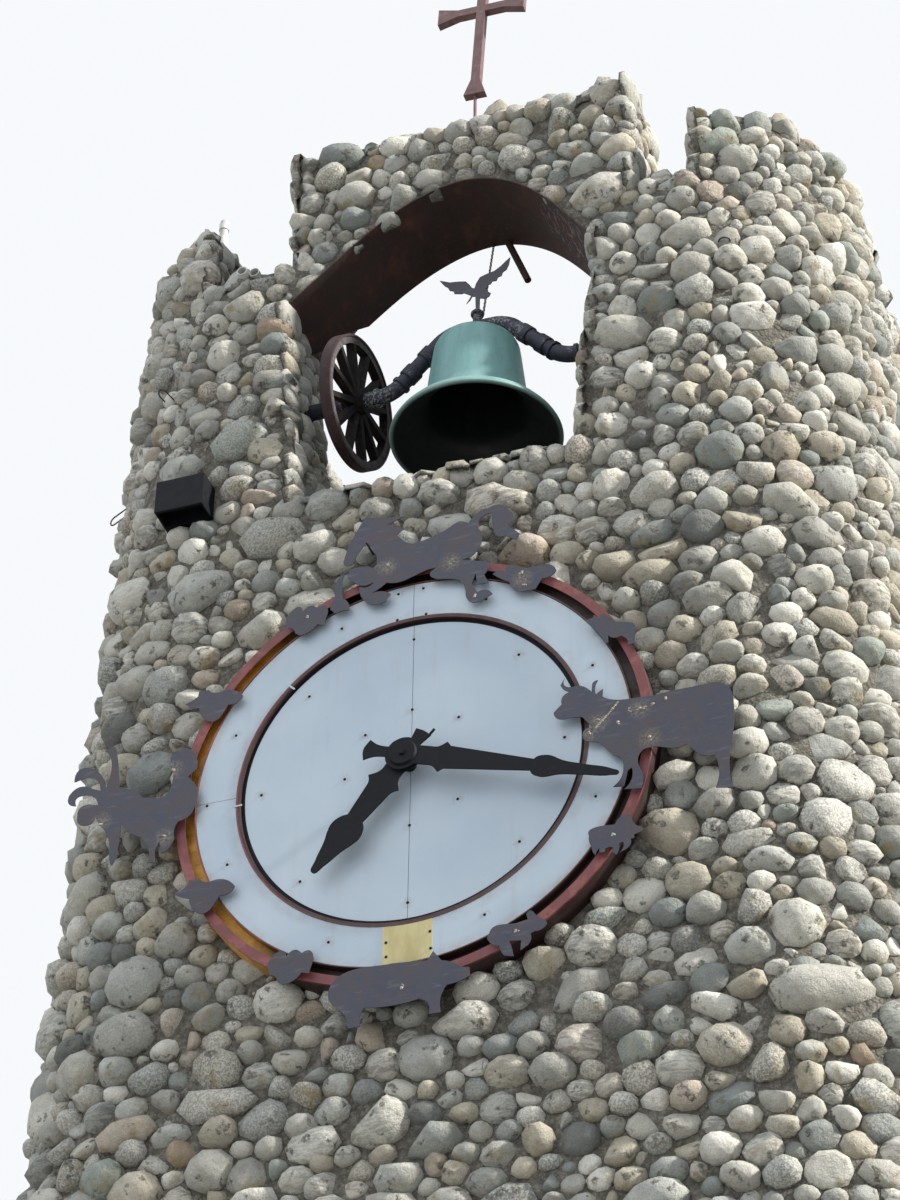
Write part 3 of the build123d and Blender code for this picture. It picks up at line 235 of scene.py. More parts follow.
# Walks round the skin and the room, where the back gives way to the sides, the lap of the stones
# over the masonry's edges, and the outward normal that tells the front's flat
MEAN_ROUND = 20.6
ROOM_ROUND = 8 * (ROOM_HALF - ROOM_RADIUS) + 2 * math.pi * ROOM_RADIUS
BACK_SLOPE = 1.12
EDGE_LAP = 0.045
FRONT_NORMAL = -0.9

# How far stones may stand past the edges of the skin and of the room, where they start above the
# ground, how much higher the arch is inside, and the margin of the tops
PAST_SKIN, PAST_ROOM = 0.03, 0.02
FOOT_Z = 0.01
ROOM_ARCH_RISE = 0.05
TOP_MARGIN = 0.05

# What tells the front, the sides and the back of the parapet, the steps of a search round it, and
# the height at which the opening is laid out on the unrolled skin
NEAR_FRONT, NEAR_SIDE, NEAR_BACK = -1, 1.6, 1
WALK_STEPS = 4000
BELFRY_Z = 15.3


# Packing of stones: discs that push each other apart over a flat or rolled sheet
def near_pairs(u, v, reach, width, wrap):
    """Each pair of discs once, where their centres lie in the same or neighbouring cells."""
    columns = max(3, int(width / reach))
    column = np.clip((u / width * columns).astype(int), 0, columns - 1)
    row = np.maximum(((v - v.min()) / reach).astype(int), 0)
    rows = row.max() + 1
    cell = row * columns + column
    order = np.argsort(cell, kind="stable")
    ordered = cell[order]
    marks = np.arange(rows * columns)
    first = np.searchsorted(ordered, marks, side="left")
    last = np.searchsorted(ordered, marks, side="right")
    index = np.arange(len(u))
    firsts, seconds = [], []
    for step_row, step_column in ((0, 0), (0, 1), (1, -1), (1, 0), (1, 1)):
        next_column = column + step_column
        if wrap:
            next_column %= columns
        next_row = row + step_row
        real = (next_column >= 0) & (next_column < columns) & (next_row < rows)
        other = (next_row * columns + next_column)[real]
        count = last[other] - first[other]
        one = np.repeat(index[real], count)
        running = np.arange(count.sum()) - np.repeat(np.cumsum(count) - count, count)
        two = order[np.repeat(first[other], count) + running]
        if step_row == step_column == 0:
            one, two = one[one < two], two[one < two]
        firsts.append(one)
        seconds.append(two)
    return np.concatenate(firsts), np.concatenate(seconds)


def apart(u, v, one, two, width, wrap):
    """Steps from the first to the second of each pair."""
    across, up = u[two] - u[one], v[two] - v[one]
    if wrap:
        across -= width * np.round(across / width)
    return across, up, np.maximum(np.hypot(across, up), 1e-6)


def scatter(sheet, seed, mean, spread):
    """Centres and radii of discs packed edge to edge over the sheet, in its squeezed measure."""
    rng = np.random.default_rng(seed)
    width, height = sheet.width, sheet.height * SQUEEZE
    count = max(3, int(width * height * FILL / (math.pi * mean ** 2 * (1 + spread ** 2))))
    radius = mean * np.exp(rng.normal(0, spread, count))
    radius = np.clip(radius, LEAST_SIZE * mean, MOST_SIZE * mean)
    u, v = rng.uniform(0, width, count), rng.uniform(0, height, count)
    inset = EDGE_INSET * radius
    reach = 2 * radius.max()
    for _ in range(ROUNDS):
        one, two = near_pairs(u, v, reach, width, sheet.wrap)
        across, up, gap = apart(u, v, one, two, width, sheet.wrap)
        push = np.maximum(radius[one] + radius[two] - gap, 0) * PUSH / gap
        for place, step in ((u, across * push), (v, up * push)):
            place -= np.bincount(one, step, count)
            place += np.bincount(two, step, count)
        for low_u, high_u, low_v, high_v in sheet.gaps:
            step_out(u, v, radius, low_u, high_u, low_v * SQUEEZE, high_v * SQUEEZE)
        if sheet.wrap:
            u %= width
        else:
            u[:] = np.clip(u, inset, np.maximum(width - inset, inset))
        v[:] = np.clip(v, inset, np.maximum(height - inset, inset))
    return u, v, radius


def step_out(u, v, radius, low_u, high_u, low_v, high_v):
    """Moves the discs that lie in a gap out over its nearest edge, unless they lie deep inside."""
    edge = GAP_INSET * radius
    depths = np.stack([u - (low_u - edge), (high_u + edge) - u, v - (low_v - edge),
                       (high_v + edge) - v])
    nearest = depths.argmin(0)
    inside = (depths.min(0) > 0) & (depths.min(0) < 2 * radius)
    for side, place, sign in ((0, u, -1), (1, u, 1), (2, v, -1), (3, v, 1)):
        moved = inside & (nearest == side)
        place[moved] += sign * depths[side][moved]


def couple(up, gap, radius, one, two, rng):
    """Partner of each disc that makes one half of a long stone, or -1."""
    mate = np.full(len(radius), -1)
    fits = (abs(up) < LONG_LEVEL * gap) & (gap < LONG_GAP * (radius[one] + radius[two]))
    fits &= rng.random(len(one)) < LONG_SHARE
    for first, second in zip(one[fits], two[fits]):
        if mate[first] < 0 and mate[second] < 0:
            mate[first], mate[second] = second, first
    return mate


def beside(reach):
    """Mean of the reaches in the directions before and after each one."""
    return (np.roll(reach, 1, 1) + np.roll(reach, -1, 1)) / 2


def outlines(sheet, u, v, radius, joint, rng):
    """Middle of each stone and its reach in every direction, up to its neighbours' joints."""
    index = np.arange(len(u))
    one, two = near_pairs(u, v, 2 * radius.max(), sheet.width, sheet.wrap)
    across, up, gap = apart(u, v, one, two, sheet.width, sheet.wrap)
    mate = couple(up, gap, radius, one, two, rng)
    near = (gap < radius[one] + radius[two] + NEIGHBOUR) & (two != mate[one])
    one, two = np.concatenate((one[near], two[near])), np.concatenate((two[near], one[near]))
    across, up, gap = apart(u, v, one, two, sheet.width, sheet.wrap)
    share = (gap ** 2 + radius[one] ** 2 - radius[two] ** 2) / (2 * gap)

    # From a stone's middle to its discs' centres, which are the same point unless it has two
    partner = np.where(mate >= 0, mate, index)
    half_u, half_v, _ = apart(u, v, index, partner, sheet.width, sheet.wrap)
    off_u, off_v = -half_u / 2, -half_v / 2
    forward = off_u[:, None] * np.cos(ANGLES) + off_v[:, None] * np.sin(ANGLES)
    ahead = forward > -1e-9
    lead = np.minimum(index, partner)

    # The nearest joint holds a stone in, and where there is none, its own size does
    offset = np.maximum(share + (across * off_u[one] + up * off_v[one]) / gap, LEAST_OFFSET)
    turn = np.cos(ANGLES[None, :] - np.arctan2(up, across)[:, None])
    held = (turn > GRAZING) & ahead[one]
    limit = np.where(held, offset[:, None] / np.maximum(turn, GRAZING), np.inf)
    most = (REACH * radius[:, None]) ** 2 - (off_u ** 2 + off_v ** 2)[:, None] + forward ** 2
    free = forward + np.sqrt(np.maximum(most, 0))
    reach = np.full((len(u), SEGMENTS), np.inf)
    np.minimum.at(reach, lead[one], limit)
    np.minimum.at(reach, lead, np.where(ahead, free, np.inf))
    reach[lead != index] = 1.0
    shrunk = reach - joint * rng.uniform(*JOINT_SHARES, len(u))[:, None]
    reach = np.maximum(shrunk, LEAST_REACH)
    round_off = rng.uniform(*ROUNDINGS, len(u))[:, None]
    for _ in range(2):
        before, after = np.roll(reach, 1, 1), np.roll(reach, -1, 1)
        reach = np.maximum(reach, 2 * before * after * CHORD / (before + after))
        reach = (1 - round_off) * reach + round_off * beside(reach)
    first = lead == index
    return u[first] - off_u[first], v[first] - off_v[first], OVERLAP * reach[first]


def dome():
    """Template stone: angle step, distance out and height of each point, and its faces."""
    bm = bmesh.new()
    bmesh.ops.create_uvsphere(bm, u_segments=SEGMENTS, v_segments=RINGS, radius=1)
    bmesh.ops.bisect_plane(bm, geom=bm.verts[:] + bm.edges[:] + bm.faces[:],
                           plane_co=(0, 0, DOME_CUT), plane_no=(0, 0, 1), clear_inner=True)
    bm.verts.index_update()
    points = np.array([v.co for v in bm.verts])
    faces = [[v.index for v in f.verts] for f in bm.faces]
    bm.free()
    out = np.hypot(points[:, 0], points[:, 1])
    step = np.round(np.arctan2(points[:, 1], points[:, 0]) / (2 * math.pi / SEGMENTS)).astype(int)
    return step % SEGMENTS, out, points[:, 2], faces


DOME_STEP, DOME_OUT, DOME_RISE, DOME_FACES = dome()


class Sheet:
    """Stretch of wall rolled flat: its size, where its points lie, and where stones may sit."""

    def __init__(self, width, height, place, allowed=None, wrap=False, gaps=()):
        self.width, self.height, self.place, self.wrap, self.gaps = width, height, place, wrap, gaps
        self.allowed = allowed or (lambda u, v: np.ones(np.shape(u), bool))


def fitted(sheet, seed, mean, spread, joint, rng):
    """Middles, reaches and sizes of the stones that a sheet has room for."""
    u, v, radius = scatter(sheet, seed, mean, spread)
    u, v, reach = outlines(sheet, u, v, radius, joint, rng)
    real = sheet.allowed(u, v / SQUEEZE)
    u, v, reach = u[real], v[real], reach[real]
    cosine, sine = np.cos(ANGLES), np.sin(ANGLES) / SQUEEZE
    for _ in range(DRAW_ROUNDS):
        outside = ~sheet.allowed(u[:, None] + reach * cosine, v[:, None] / SQUEEZE + reach * sine)
        reach[outside] *= DRAW_IN
        eased = np.minimum(reach, OWN_SHARE * reach + BESIDE_SHARE * beside(reach))
        reach = np.where(outside.any(1)[:, None], eased, reach)
    size = np.sort(reach, 1)[:, :SEGMENTS // 2].mean(1)
    real = size > SMALLEST * mean
    return u[real], v[real], reach[real], size[real]


def bodies(reach, size, rise, rng):
    """Points of each stone round its middle: along, up and out of the wall."""
    count = len(size)

    # Rounded bodies, each with its own fullness and a few low lumps
    out = DOME_OUT[None, :] ** rng.uniform(*FULLNESS, count)[:, None]
    lift = np.abs(DOME_RISE)[None, :] ** rng.uniform(*LIFTS, count)[:, None]
    lift = np.sign(DOME_RISE) * lift
    angle = DOME_STEP * 2 * math.pi / SEGMENTS
    span = reach[:, DOME_STEP] * out
    for wave, strength in LUMPS:
        phase = rng.uniform(0, 2 * math.pi, count)[:, None]
        lift = lift * (1 + strength * np.cos(wave * angle[None, :] + phase) * DOME_OUT ** wave)
    body = np.stack([span * np.cos(angle), span * np.sin(angle) / SQUEEZE, lift * rise[:, None]],
                    -1)

    # Broken ones are flattened against one or two slanting planes
    for share in BROKEN_SHARES:
        tilt, heading = rng.uniform(*TILTS, count), rng.uniform(0, 2 * math.pi, count)
        normal = np.stack([np.sin(tilt) * np.cos(heading), np.sin(tilt) * np.sin(heading),
                           np.cos(tilt)], -1)
        broken = rng.random(count) < share
        depth = np.where(broken, rng.uniform(*DEPTHS, count) * size, UNBROKEN)
        over = np.maximum((body * normal[:, None, :]).sum(-1) - depth[:, None], 0)
        body = body - FLATTENING * over[..., None] * normal[:, None, :]
    return body


def stones(sheet, seed, mean, spread, joint, height=(0.65, 1.1), sink=0.02, most=0.125):
    """Points, tones, depths and outward directions of all the stones on one sheet."""
    rng = np.random.default_rng(seed + 1)
    u, v, reach, size = fitted(sheet, seed, mean, spread, joint, rng)
    count = len(u)
    centre, along, upward, outward, stretch = sheet.place(u, v / SQUEEZE)
    rise = np.minimum(size * rng.uniform(*height, count), most) + sink
    body = bodies(reach, size, rise, rng)
    body[..., 0] *= stretch[:, None]
    body[..., 2] -= sink
    points = centre[:, None, :] + body @ np.stack([along, upward, outward], 1)
    tones = rng.uniform(0, 1, (count, 3))
    edge = np.clip(1 - (DOME_RISE - EDGE_LOW) / EDGE_SPAN, 0, 1)
    return points, tones, np.broadcast_to(edge, (count, len(edge))), outward


def add_object(name, data):
    """New object in the scene."""
    made = bpy.data.objects.new(name, data)
    bpy.context.scene.collection.objects.link(made)
    return made


def set_values(mesh, label, values):
    """Attribute with one number for each point."""
    attribute = mesh.attributes.new(label, "FLOAT", "POINT")
    attribute.data.foreach_set("value", values.astype(np.float32))


def stone_mesh(name, batches, keep=None):
    """One joined piece out of many stones, with its tone attributes."""
    points, tones, edge, outward = (np.concatenate(rows) for rows in zip(*batches))
    if keep is not None:
        chosen = keep(outward)
        points, tones, edge = points[chosen], tones[chosen], edge[chosen]
    count, each = points.shape[:2]
    sizes = np.tile([len(face) for face in DOME_FACES], count)
    loops = (np.concatenate(DOME_FACES)[None, :] + each * np.arange(count)[:, None]).ravel()
    mesh = bpy.data.meshes.new(name)
    mesh.vertices.add(count * each)
    mesh.vertices.foreach_set("co", points.reshape(-1).astype(np.float32))
    mesh.loops.add(len(loops))
    mesh.loops.foreach_set("vertex_index", loops.astype(np.int32))
    mesh.polygons.add(len(sizes))
    mesh.polygons.foreach_set("loop_start", (np.cumsum(sizes) - sizes).astype(np.int32))
    mesh.polygons.foreach_set("use_smooth", np.ones(len(sizes), bool))
    for label, values in zip(("tone", "grain", "age"), tones.T):
        set_values(mesh, label, np.repeat(values, each))
    set_values(mesh, "edge", edge.ravel())
    mesh.update(calc_edges=True)
    mesh.validate()
    return add_object(name, mesh)


# Where a point lies on the outside of the tower and on the walls of the belfry room
def rounded_walk(share, half_x, low_y, high_y, radius):
    """Point and outward normal at a share of the way round a rounded box, from its front middle."""
    straight_x, straight_y = half_x - radius, (high_y - low_y) / 2 - radius
    middle_y = (high_y + low_y) / 2
    arc = math.pi * radius / 2
    lengths = [straight_x, arc, 2 * straight_y, arc, 2 * straight_x, arc, 2 * straight_y, arc,
               straight_x]
    ends = np.cumsum(np.stack([np.broadcast_to(n, share.shape) for n in lengths]), 0)
    walked = (share % 1) * ends[-1]
    leg = np.minimum((walked[None, ...] >= ends).sum(0), 8)
    passed = np.take_along_axis(ends, np.maximum(leg - 1, 0)[None], 0)[0]
    before = walked - np.where(leg > 0, passed, 0)
    turn = before / radius
    x, y, nx, ny = (np.zeros(share.shape) for _ in range(4))
    corners = {1: (1, -1, -math.pi / 2), 3: (1, 1, 0),
               5: (-1, 1, math.pi / 2), 7: (-1, -1, math.pi)}
    sides = {0: (0, -1), 2: (1, 0), 4: (0, 1), 6: (-1, 0), 8: (0, -1)}
    for number, (side_x, side_y, start) in corners.items():
        on = leg == number
        angle = start + turn
        nx, ny = np.where(on, np.cos(angle), nx), np.where(on, np.sin(angle), ny)
        x = np.where(on, side_x * straight_x + radius * np.cos(angle), x)
        y = np.where(on, middle_y + side_y * straight_y + radius * np.sin(angle), y)
    for number, (out_x, out_y) in sides.items():
        on = leg == number
        nx, ny = np.where(on, out_x, nx), np.where(on, out_y, ny)
        along_x = {0: before, 4: straight_x - before, 8: before - straight_x}
        along_y = {2: before - straight_y, 6: straight_y - before}
        run_x = along_x.get(number, out_x * half_x)
        run_y = along_y.get(number, out_y * (straight_y + radius))
        x, y = np.where(on, run_x, x), np.where(on, middle_y + run_y, y)
    return x, y, nx, ny, ends[-1]


def skin_at(share, z):
    """Point and outward normal on the leaning outer skin."""
    up = np.clip(z / GABLE_TOP, 0, 1)
    half = HALF_FOOT + (HALF_TOP - HALF_FOOT) * up
    return rounded_walk(share, half, FRONT_Y + 0 * up, half, CORNER_RADIUS)


def in_arch(x, z, inside=0.0):
    """Whether a point lies in the belfry opening from the front, and so far inside its edge."""
    up = (z - SILL_Z) / (SPRING_Z - SILL_Z)
    left = LEFT_FOOT + (LEFT_HEAD - LEFT_FOOT) * up + inside
    right = RIGHT_FOOT + (RIGHT_HEAD - RIGHT_FOOT) * up - LEDGE * (z < LEDGE_Z) - inside
    low = (z > SILL_Z + inside) & (z <= SPRING_Z) & (x > left) & (x < right)
    xs, rises = zip(*ARCH_POINTS)
    high = (z > SPRING_Z) & (z - SPRING_Z < np.interp(x, xs, rises, -1, -1))
    return low | high


def in_crenel(x, y):
    """Whether a point of the plan lies in a crenel, past the stones that lap over its edges."""
    cut = np.zeros(np.shape(x), bool)
    for crenels, side, along in ((FRONT_CRENELS, y < NEAR_FRONT, x),
                                 (SIDE_CRENELS, abs(x) > NEAR_SIDE, y),
                                 (BACK_CRENELS, y > NEAR_BACK, x)):
        for low, high in crenels:
            cut |= side & (along > low + EDGE_LAP) & (along < high - EDGE_LAP)
    return cut


def top_at(x, y):
    """Height of the masonry's top over a point of the walls, which lap over the crenels' sides."""
    low, high = FRONT_CRENELS[0][1] - EDGE_LAP, FRONT_CRENELS[1][0] + EDGE_LAP
    gable = (y < NEAR_FRONT) & (x > low) & (x < high)
    return np.where(gable, GABLE_TOP, np.where(in_crenel(x, y), CRENEL_Z, MERLON_TOP))


def skin_place(u, z):
    """Frame of each stone on the outer skin."""
    x, y, nx, ny, around = skin_at(u / MEAN_ROUND, z)
    lean = np.where(ny < FRONT_NORMAL, 0.0, (HALF_FOOT - HALF_TOP) / GABLE_TOP)
    outward = np.stack([nx, ny, lean], -1)
    outward /= np.linalg.norm(outward, axis=-1, keepdims=True)
    along = np.stack([-ny, nx, 0 * nx], -1)
    return np.stack([x, y, z], -1), along, np.cross(outward, along), outward, around / MEAN_ROUND


def skin_allowed(u, z):
    """Stones keep to the masonry, clear of the opening, the crenels, the dial and the box."""
    x, y, nx, ny, _ = skin_at(u / MEAN_ROUND, z)
    front = ny < FRONT_NORMAL
    behind = front & (np.hypot(x - DIAL.x, z - DIAL.z) < RIM_RADIUS - EDGE_LAP)
    box = (x > BOX_LOW.x) & (x < BOX_HIGH.x) & (z > BOX_LOW.z) & (z < BOX_HIGH.z)
    behind |= (y < NEAR_FRONT) & box
    masonry = (z > FOOT_Z) & (z < top_at(x, y) + PAST_SKIN)
    return masonry & ~(front & in_arch(x, z, EDGE_LAP)) & ~behind


def share_of(x, y, z):
    """Share of the way round the skin that lies nearest a point."""
    shares = np.linspace(0, 1, WALK_STEPS, endpoint=False)
    px, py = skin_at(shares, np.full(WALK_STEPS, z))[:2]
    return shares[np.hypot(px - x, py - y).argmin()] * MEAN_ROUND


def skin_gaps():
    """Crenels and the belfry opening as boxes on the unrolled skin."""
    z = (CRENEL_Z + MERLON_TOP) / 2
    spans = [((low, FRONT_Y), (high, FRONT_Y)) for low, high in FRONT_CRENELS]
    spans += [((HALF_TOP, low), (HALF_TOP, high)) for low, high in SIDE_CRENELS]
    spans += [((high, HALF_TOP), (low, HALF_TOP)) for low, high in BACK_CRENELS]
    spans += [((-HALF_TOP, high), (-HALF_TOP, low)) for low, high in SIDE_CRENELS]
    gaps = [(share_of(*a, z), share_of(*b, z), CRENEL_Z, GABLE_TOP + 1) for a, b in spans]
    box = [share_of(x, BOX_LOW.y, BOX_LOW.z) for x in (BOX_LOW.x, BOX_HIGH.x)]
    gaps.append((*box, BOX_LOW.z, BOX_HIGH.z))
    scale = MEAN_ROUND / skin_at(np.array([0.0]), np.array([BELFRY_Z]))[4][0]
    gaps.append((-1, RIGHT_HEAD * scale, SILL_Z, SPRING_Z))
    gaps.append((MEAN_ROUND + LEFT_HEAD * scale, MEAN_ROUND + 1, SILL_Z, SPRING_Z))
    return gaps


def room_at(u):
    """Point and outward normal on the walls of the belfry room, so far round."""
    half = ROOM_HALF + 0 * u
    return rounded_walk(-u / ROOM_ROUND, half, -half, half, ROOM_RADIUS)[:4]


def room_place(u, v):
    """Frame of each stone on the inner walls of the belfry, which face inwards."""
    x, y, nx, ny = room_at(u)
    outward = np.stack([-nx, -ny, 0 * nx], -1)
    along = np.stack([ny, -nx, 0 * nx], -1)
    upward = np.broadcast_to(np.array([0.0, 0.0, 1.0]), outward.shape)
    return np.stack([x, y, v + FLOOR_Z], -1), along, upward, outward, np.ones(len(u))


def room_allowed(u, v):
    """Stones keep to the inner walls."""
    x, y, nx, ny = room_at(u)
    z = v + FLOOR_Z
    opening = (ny < FRONT_NORMAL) & in_arch(x, z - ROOM_ARCH_RISE)
    return (z < top_at(x, y) + PAST_ROOM) & ~opening


def rounded_inside(x, y, half, radius):
    """Whether a point lies in a rounded square."""
    px, py = np.maximum(abs(x) - half + radius, 0), np.maximum(abs(y) - half + radius, 0)
    return np.hypot(px, py) < radius


def top_level(x, y):
    """Height of the masonry's top over a point of the plan, or 0 off the walls."""
    ring = np.maximum(abs(x), abs(y)) < HALF_TOP + PAST_ROOM
    ring &= ~rounded_inside(x, y, ROOM_HALF, ROOM_RADIUS)
    ring &= rounded_inside(x, y, HALF_TOP + PAST_SKIN, CORNER_RADIUS)
    return np.where(ring, top_at(x, y), 0)


def top_sheet():
    """Tops of the merlons and floors of the crenels, seen in plan."""
    half = HALF_TOP + TOP_MARGIN

    def place(u, v):
        x, y = u - half, v - half
        flat = np.tile(np.eye(3), (len(u), 1, 1))
        middle = np.stack([x, y, top_level(x, y)], -1)
        return middle, flat[:, 0], flat[:, 1], flat[:, 2], np.ones(len(u))

    def allowed(u, v):
        level = own = top_level(u - half, v - half)
        if level.ndim > 1:
            middle = top_level(u.mean(1) - half, v.mean(1) - half)
            own = np.broadcast_to(middle[:, None], level.shape)
        return (level > 0) & (level == own)

    return Sheet(2 * half, 2 * half, place, allowed)


def flat_sheet(corner, along, upward):
    """Flat rectangle from a corner and its two edge vectors."""
    corner, along, upward = (np.array(a, float) for a in (corner, along, upward))
    width, height = np.linalg.norm(along), np.linalg.norm(upward)
    outward = np.cross(along / width, upward / height)

    def place(u, v):
        centre = corner + u[:, None] * along / width + v[:, None] * upward / height
        tiled = [np.broadcast_to(a, centre.shape)
                 for a in (along / width, upward / height, outward)]
        return centre, *tiled, np.ones(len(u))

    return Sheet(width, height, place)


def front_of(x):
    """How far forward the parapet reaches at x."""
    past = max(abs(x) - (HALF_TOP - CORNER_RADIUS), 0)
    return FRONT_Y + CORNER_RADIUS - math.sqrt(CORNER_RADIUS ** 2 - past ** 2)


def cheeks():
    """Side faces of the merlons and of the belfry's jambs, and the sill."""
    depth = ROOM_BACK_Y - FRONT_Y
    found = []

    def face(x, y, along_x, along_y, top=MERLON_TOP):
        found.append(flat_sheet((x, y, CRENEL_Z), (along_x, along_y, 0), (0, 0, top - CRENEL_Z)))

    for crenel in FRONT_CRENELS:
        for x, turn in zip(crenel, (1, -1)):
            front = front_of(x)
            gable = (x < 0) == (turn == -1)
            face(x, front if turn == 1 else ROOM_BACK_Y, 0, turn * (ROOM_BACK_Y - front),
                 GABLE_TOP if gable else MERLON_TOP)
    for crenel in BACK_CRENELS:
        for x, turn in zip(crenel, (1, -1)):
            face(x, HALF_TOP - (depth if turn == 1 else 0), 0, depth * turn)
    for side in (-1, 1):
        ends = sorted((side * ROOM_HALF, side * HALF_TOP))
        for crenel in SIDE_CRENELS:
            for y, turn in zip(crenel, (-1, 1)):
                face(ends[turn == -1], y, depth * turn, 0)

    # The jambs, of which the right one steps back over its ledge, and the sill
    reveal = SPRING_Z - SILL_Z
    low = LEDGE_Z - SILL_Z
    ledge_x = RIGHT_FOOT + (RIGHT_HEAD - RIGHT_FOOT) * low / reveal
    back, forward = (0, depth, 0), (0, -depth, 0)
    jambs = [((LEFT_FOOT, FRONT_Y, SILL_Z), back, (LEFT_HEAD - LEFT_FOOT, 0, reveal)),
             ((RIGHT_FOOT - LEDGE, ROOM_BACK_Y, SILL_Z), forward, (ledge_x - RIGHT_FOOT, 0, low)),
             ((ledge_x, ROOM_BACK_Y, LEDGE_Z), forward,
              (RIGHT_HEAD - ledge_x, 0, SPRING_Z - LEDGE_Z)),
             ((LEFT_FOOT, FRONT_Y, SILL_Z), (RIGHT_FOOT - LEFT_FOOT - LEDGE, 0, 0), back)]
    return found + [flat_sheet(*jamb) for jamb in jambs]


# Shader networks
class Network:
    """Node tree with short calls for its nodes, whose sockets take other nodes or constants."""

    def __init__(self, tree):
        self.tree = tree

    def join(self, value, socket):
        if isinstance(value, bpy.types.NodeSocket):
            self.tree.links.new(value, socket)
        elif isinstance(value, tuple) and len(value) == 3 and socket.type == "RGBA":
            socket.default_value = (*value, 1)
        else:
            socket.default_value = value

    def node(self, kind, sockets, **settings):
        """Outputs of a new node."""
        node = self.tree.nodes.new("ShaderNode" + kind)
        for name, value in settings.items():
            setattr(node, name, value)
        for label, value in sockets.items():
            self.join(value, node.inputs[label])
        return node.outputs

    def maths(self, operation, a, b=0.0):
        return self.node("Math", {0: a, 1: b}, operation=operation)[0]

    def times(self, a, b):
        return self.maths("MULTIPLY", a, b)


class Finish(Network):
    """Material with short calls for the nodes that its pattern needs."""

    def __init__(self, name, roughness=0.6, metallic=0.0, specular=0.5):
        self.material = bpy.data.materials.new(name)
        self.material.use_nodes = True
        super().__init__(self.material.node_tree)
        self.shader = self.tree.nodes["Principled BSDF"]
        for label, value in (("Roughness", roughness), ("Metallic", metallic),
                             ("Specular IOR Level", specular)):
            self.shader.inputs[label].default_value = value
        self.where = self.node("TexCoord", {})["Object"]

    def noise(self, scale, detail=4.0, roughness=0.55, where=None, distortion=0.0):
        sockets = {"Vector": where or self.where, "Scale": scale, "Detail": detail,
                   "Roughness": roughness, "Distortion": distortion}
        return self.node("TexNoise", sockets)["Fac"]

    def cells(self, scale):
        return self.node("TexVoronoi", {"Vector": self.where, "Scale": scale})["Distance"]

    def attribute(self, name):
        return self.node("Attribute", {}, attribute_name=name)["Fac"]

    def stretch(self, scale, turn=(0, 0, 0)):
        sockets = {"Vector": self.where, "Scale": scale, "Rotation": turn}
        return self.node("Mapping", sockets)["Vector"]

    def part(self, axis, vector=None):
        return self.node("SeparateXYZ", {0: vector or self.where})[axis]

    def facing(self, axis):
        return self.part(axis, self.node("NewGeometry", {})["Normal"])

    def from_point(self, point, plane=(1, 1, 1)):
        """Distance from a point, measured only along the axes that the plane keeps."""
        flat = self.node("VectorMath", {0: self.where, 1: plane}, operation="MULTIPLY")["Vector"]
        kept = [p * k for p, k in zip(point, plane)]
        return self.node("VectorMath", {0: flat, 1: kept}, operation="DISTANCE")["Value"]

    def from_dial(self):
        return self.from_point(DIAL, (1, 0, 1))

    def spots(self, places, near, far):
        """How near a point lies to the closest of some places on the clock's face."""
        most = None
        for x, z in places:
            away = self.from_point((DIAL.x + x, DIAL.y, DIAL.z + z), (1, 0, 1))
            share = self.span(away, far, near)
            most = share if most is None else self.maths("MAXIMUM", most, share)
        return most

    def span(self, value, low, high, to_low=0.0, to_high=1.0):
        sockets = {"Value": value, "From Min": low, "From Max": high, "To Min": to_low,
                   "To Max": to_high}
        return self.node("MapRange", sockets)["Result"]

    def ramp(self, value, stops, interpolation="LINEAR"):
        node = self.tree.nodes.new("ShaderNodeValToRGB")
        self.join(value, node.inputs["Fac"])
        node.color_ramp.interpolation = interpolation
        elements = node.color_ramp.elements
        while len(elements) < len(stops):
            elements.new(0.5)
        for element, (position, _) in zip(elements, stops):
            element.position = position
        for element, (_, colour) in zip(elements, stops):
            element.color = (*colour, 1)
        return node.outputs["Color"]

    def mix(self, share, a, b, blend="MIX"):
        return self.node("Mix", {"Factor": share, 6: a, 7: b},
                         data_type="RGBA", blend_type=blend)[2]

    def stain(self, colour, tint, noise, low, high, share=1.0):
        """Colour with a tint where a noise lies above its levels."""
        return self.mix(self.span(self.noise(*noise), low, high, 0.0, share), colour, tint)

    def bump(self, height, distance, strength=1.0, after=None):
        sockets = {"Height": height, "Distance": distance, "Strength": strength}
        if after is not None:
            sockets["Normal"] = after
        return self.node("Bump", sockets)["Normal"]

    def wear(self, colour=None, roughness=None, normal=None):
        for value, label in ((colour, "Base Color"), (roughness, "Roughness"), (normal, "Normal")):
            if value is not None:
                self.join(value, self.shader.inputs[label])
        return self.material


COBBLE_TONES = [
    (0.00, (0.44, 0.43, 0.385)), (0.16, (0.56, 0.545, 0.49)), (0.30, (0.35, 0.345, 0.315)),
    (0.42, (0.47, 0.43, 0.35)), (0.52, (0.29, 0.30, 0.28)), (0.58, (0.66, 0.645, 0.59)),
    (0.66, (0.39, 0.355, 0.285)), (0.74, (0.23, 0.25, 0.24)), (0.79, (0.42, 0.425, 0.395)),
    (0.90, (0.45, 0.385, 0.32)), (0.93, (0.16, 0.165, 0.155)), (0.955, (0.33, 0.255, 0.19)),
    (0.975, (0.31, 0.34, 0.305)),
]


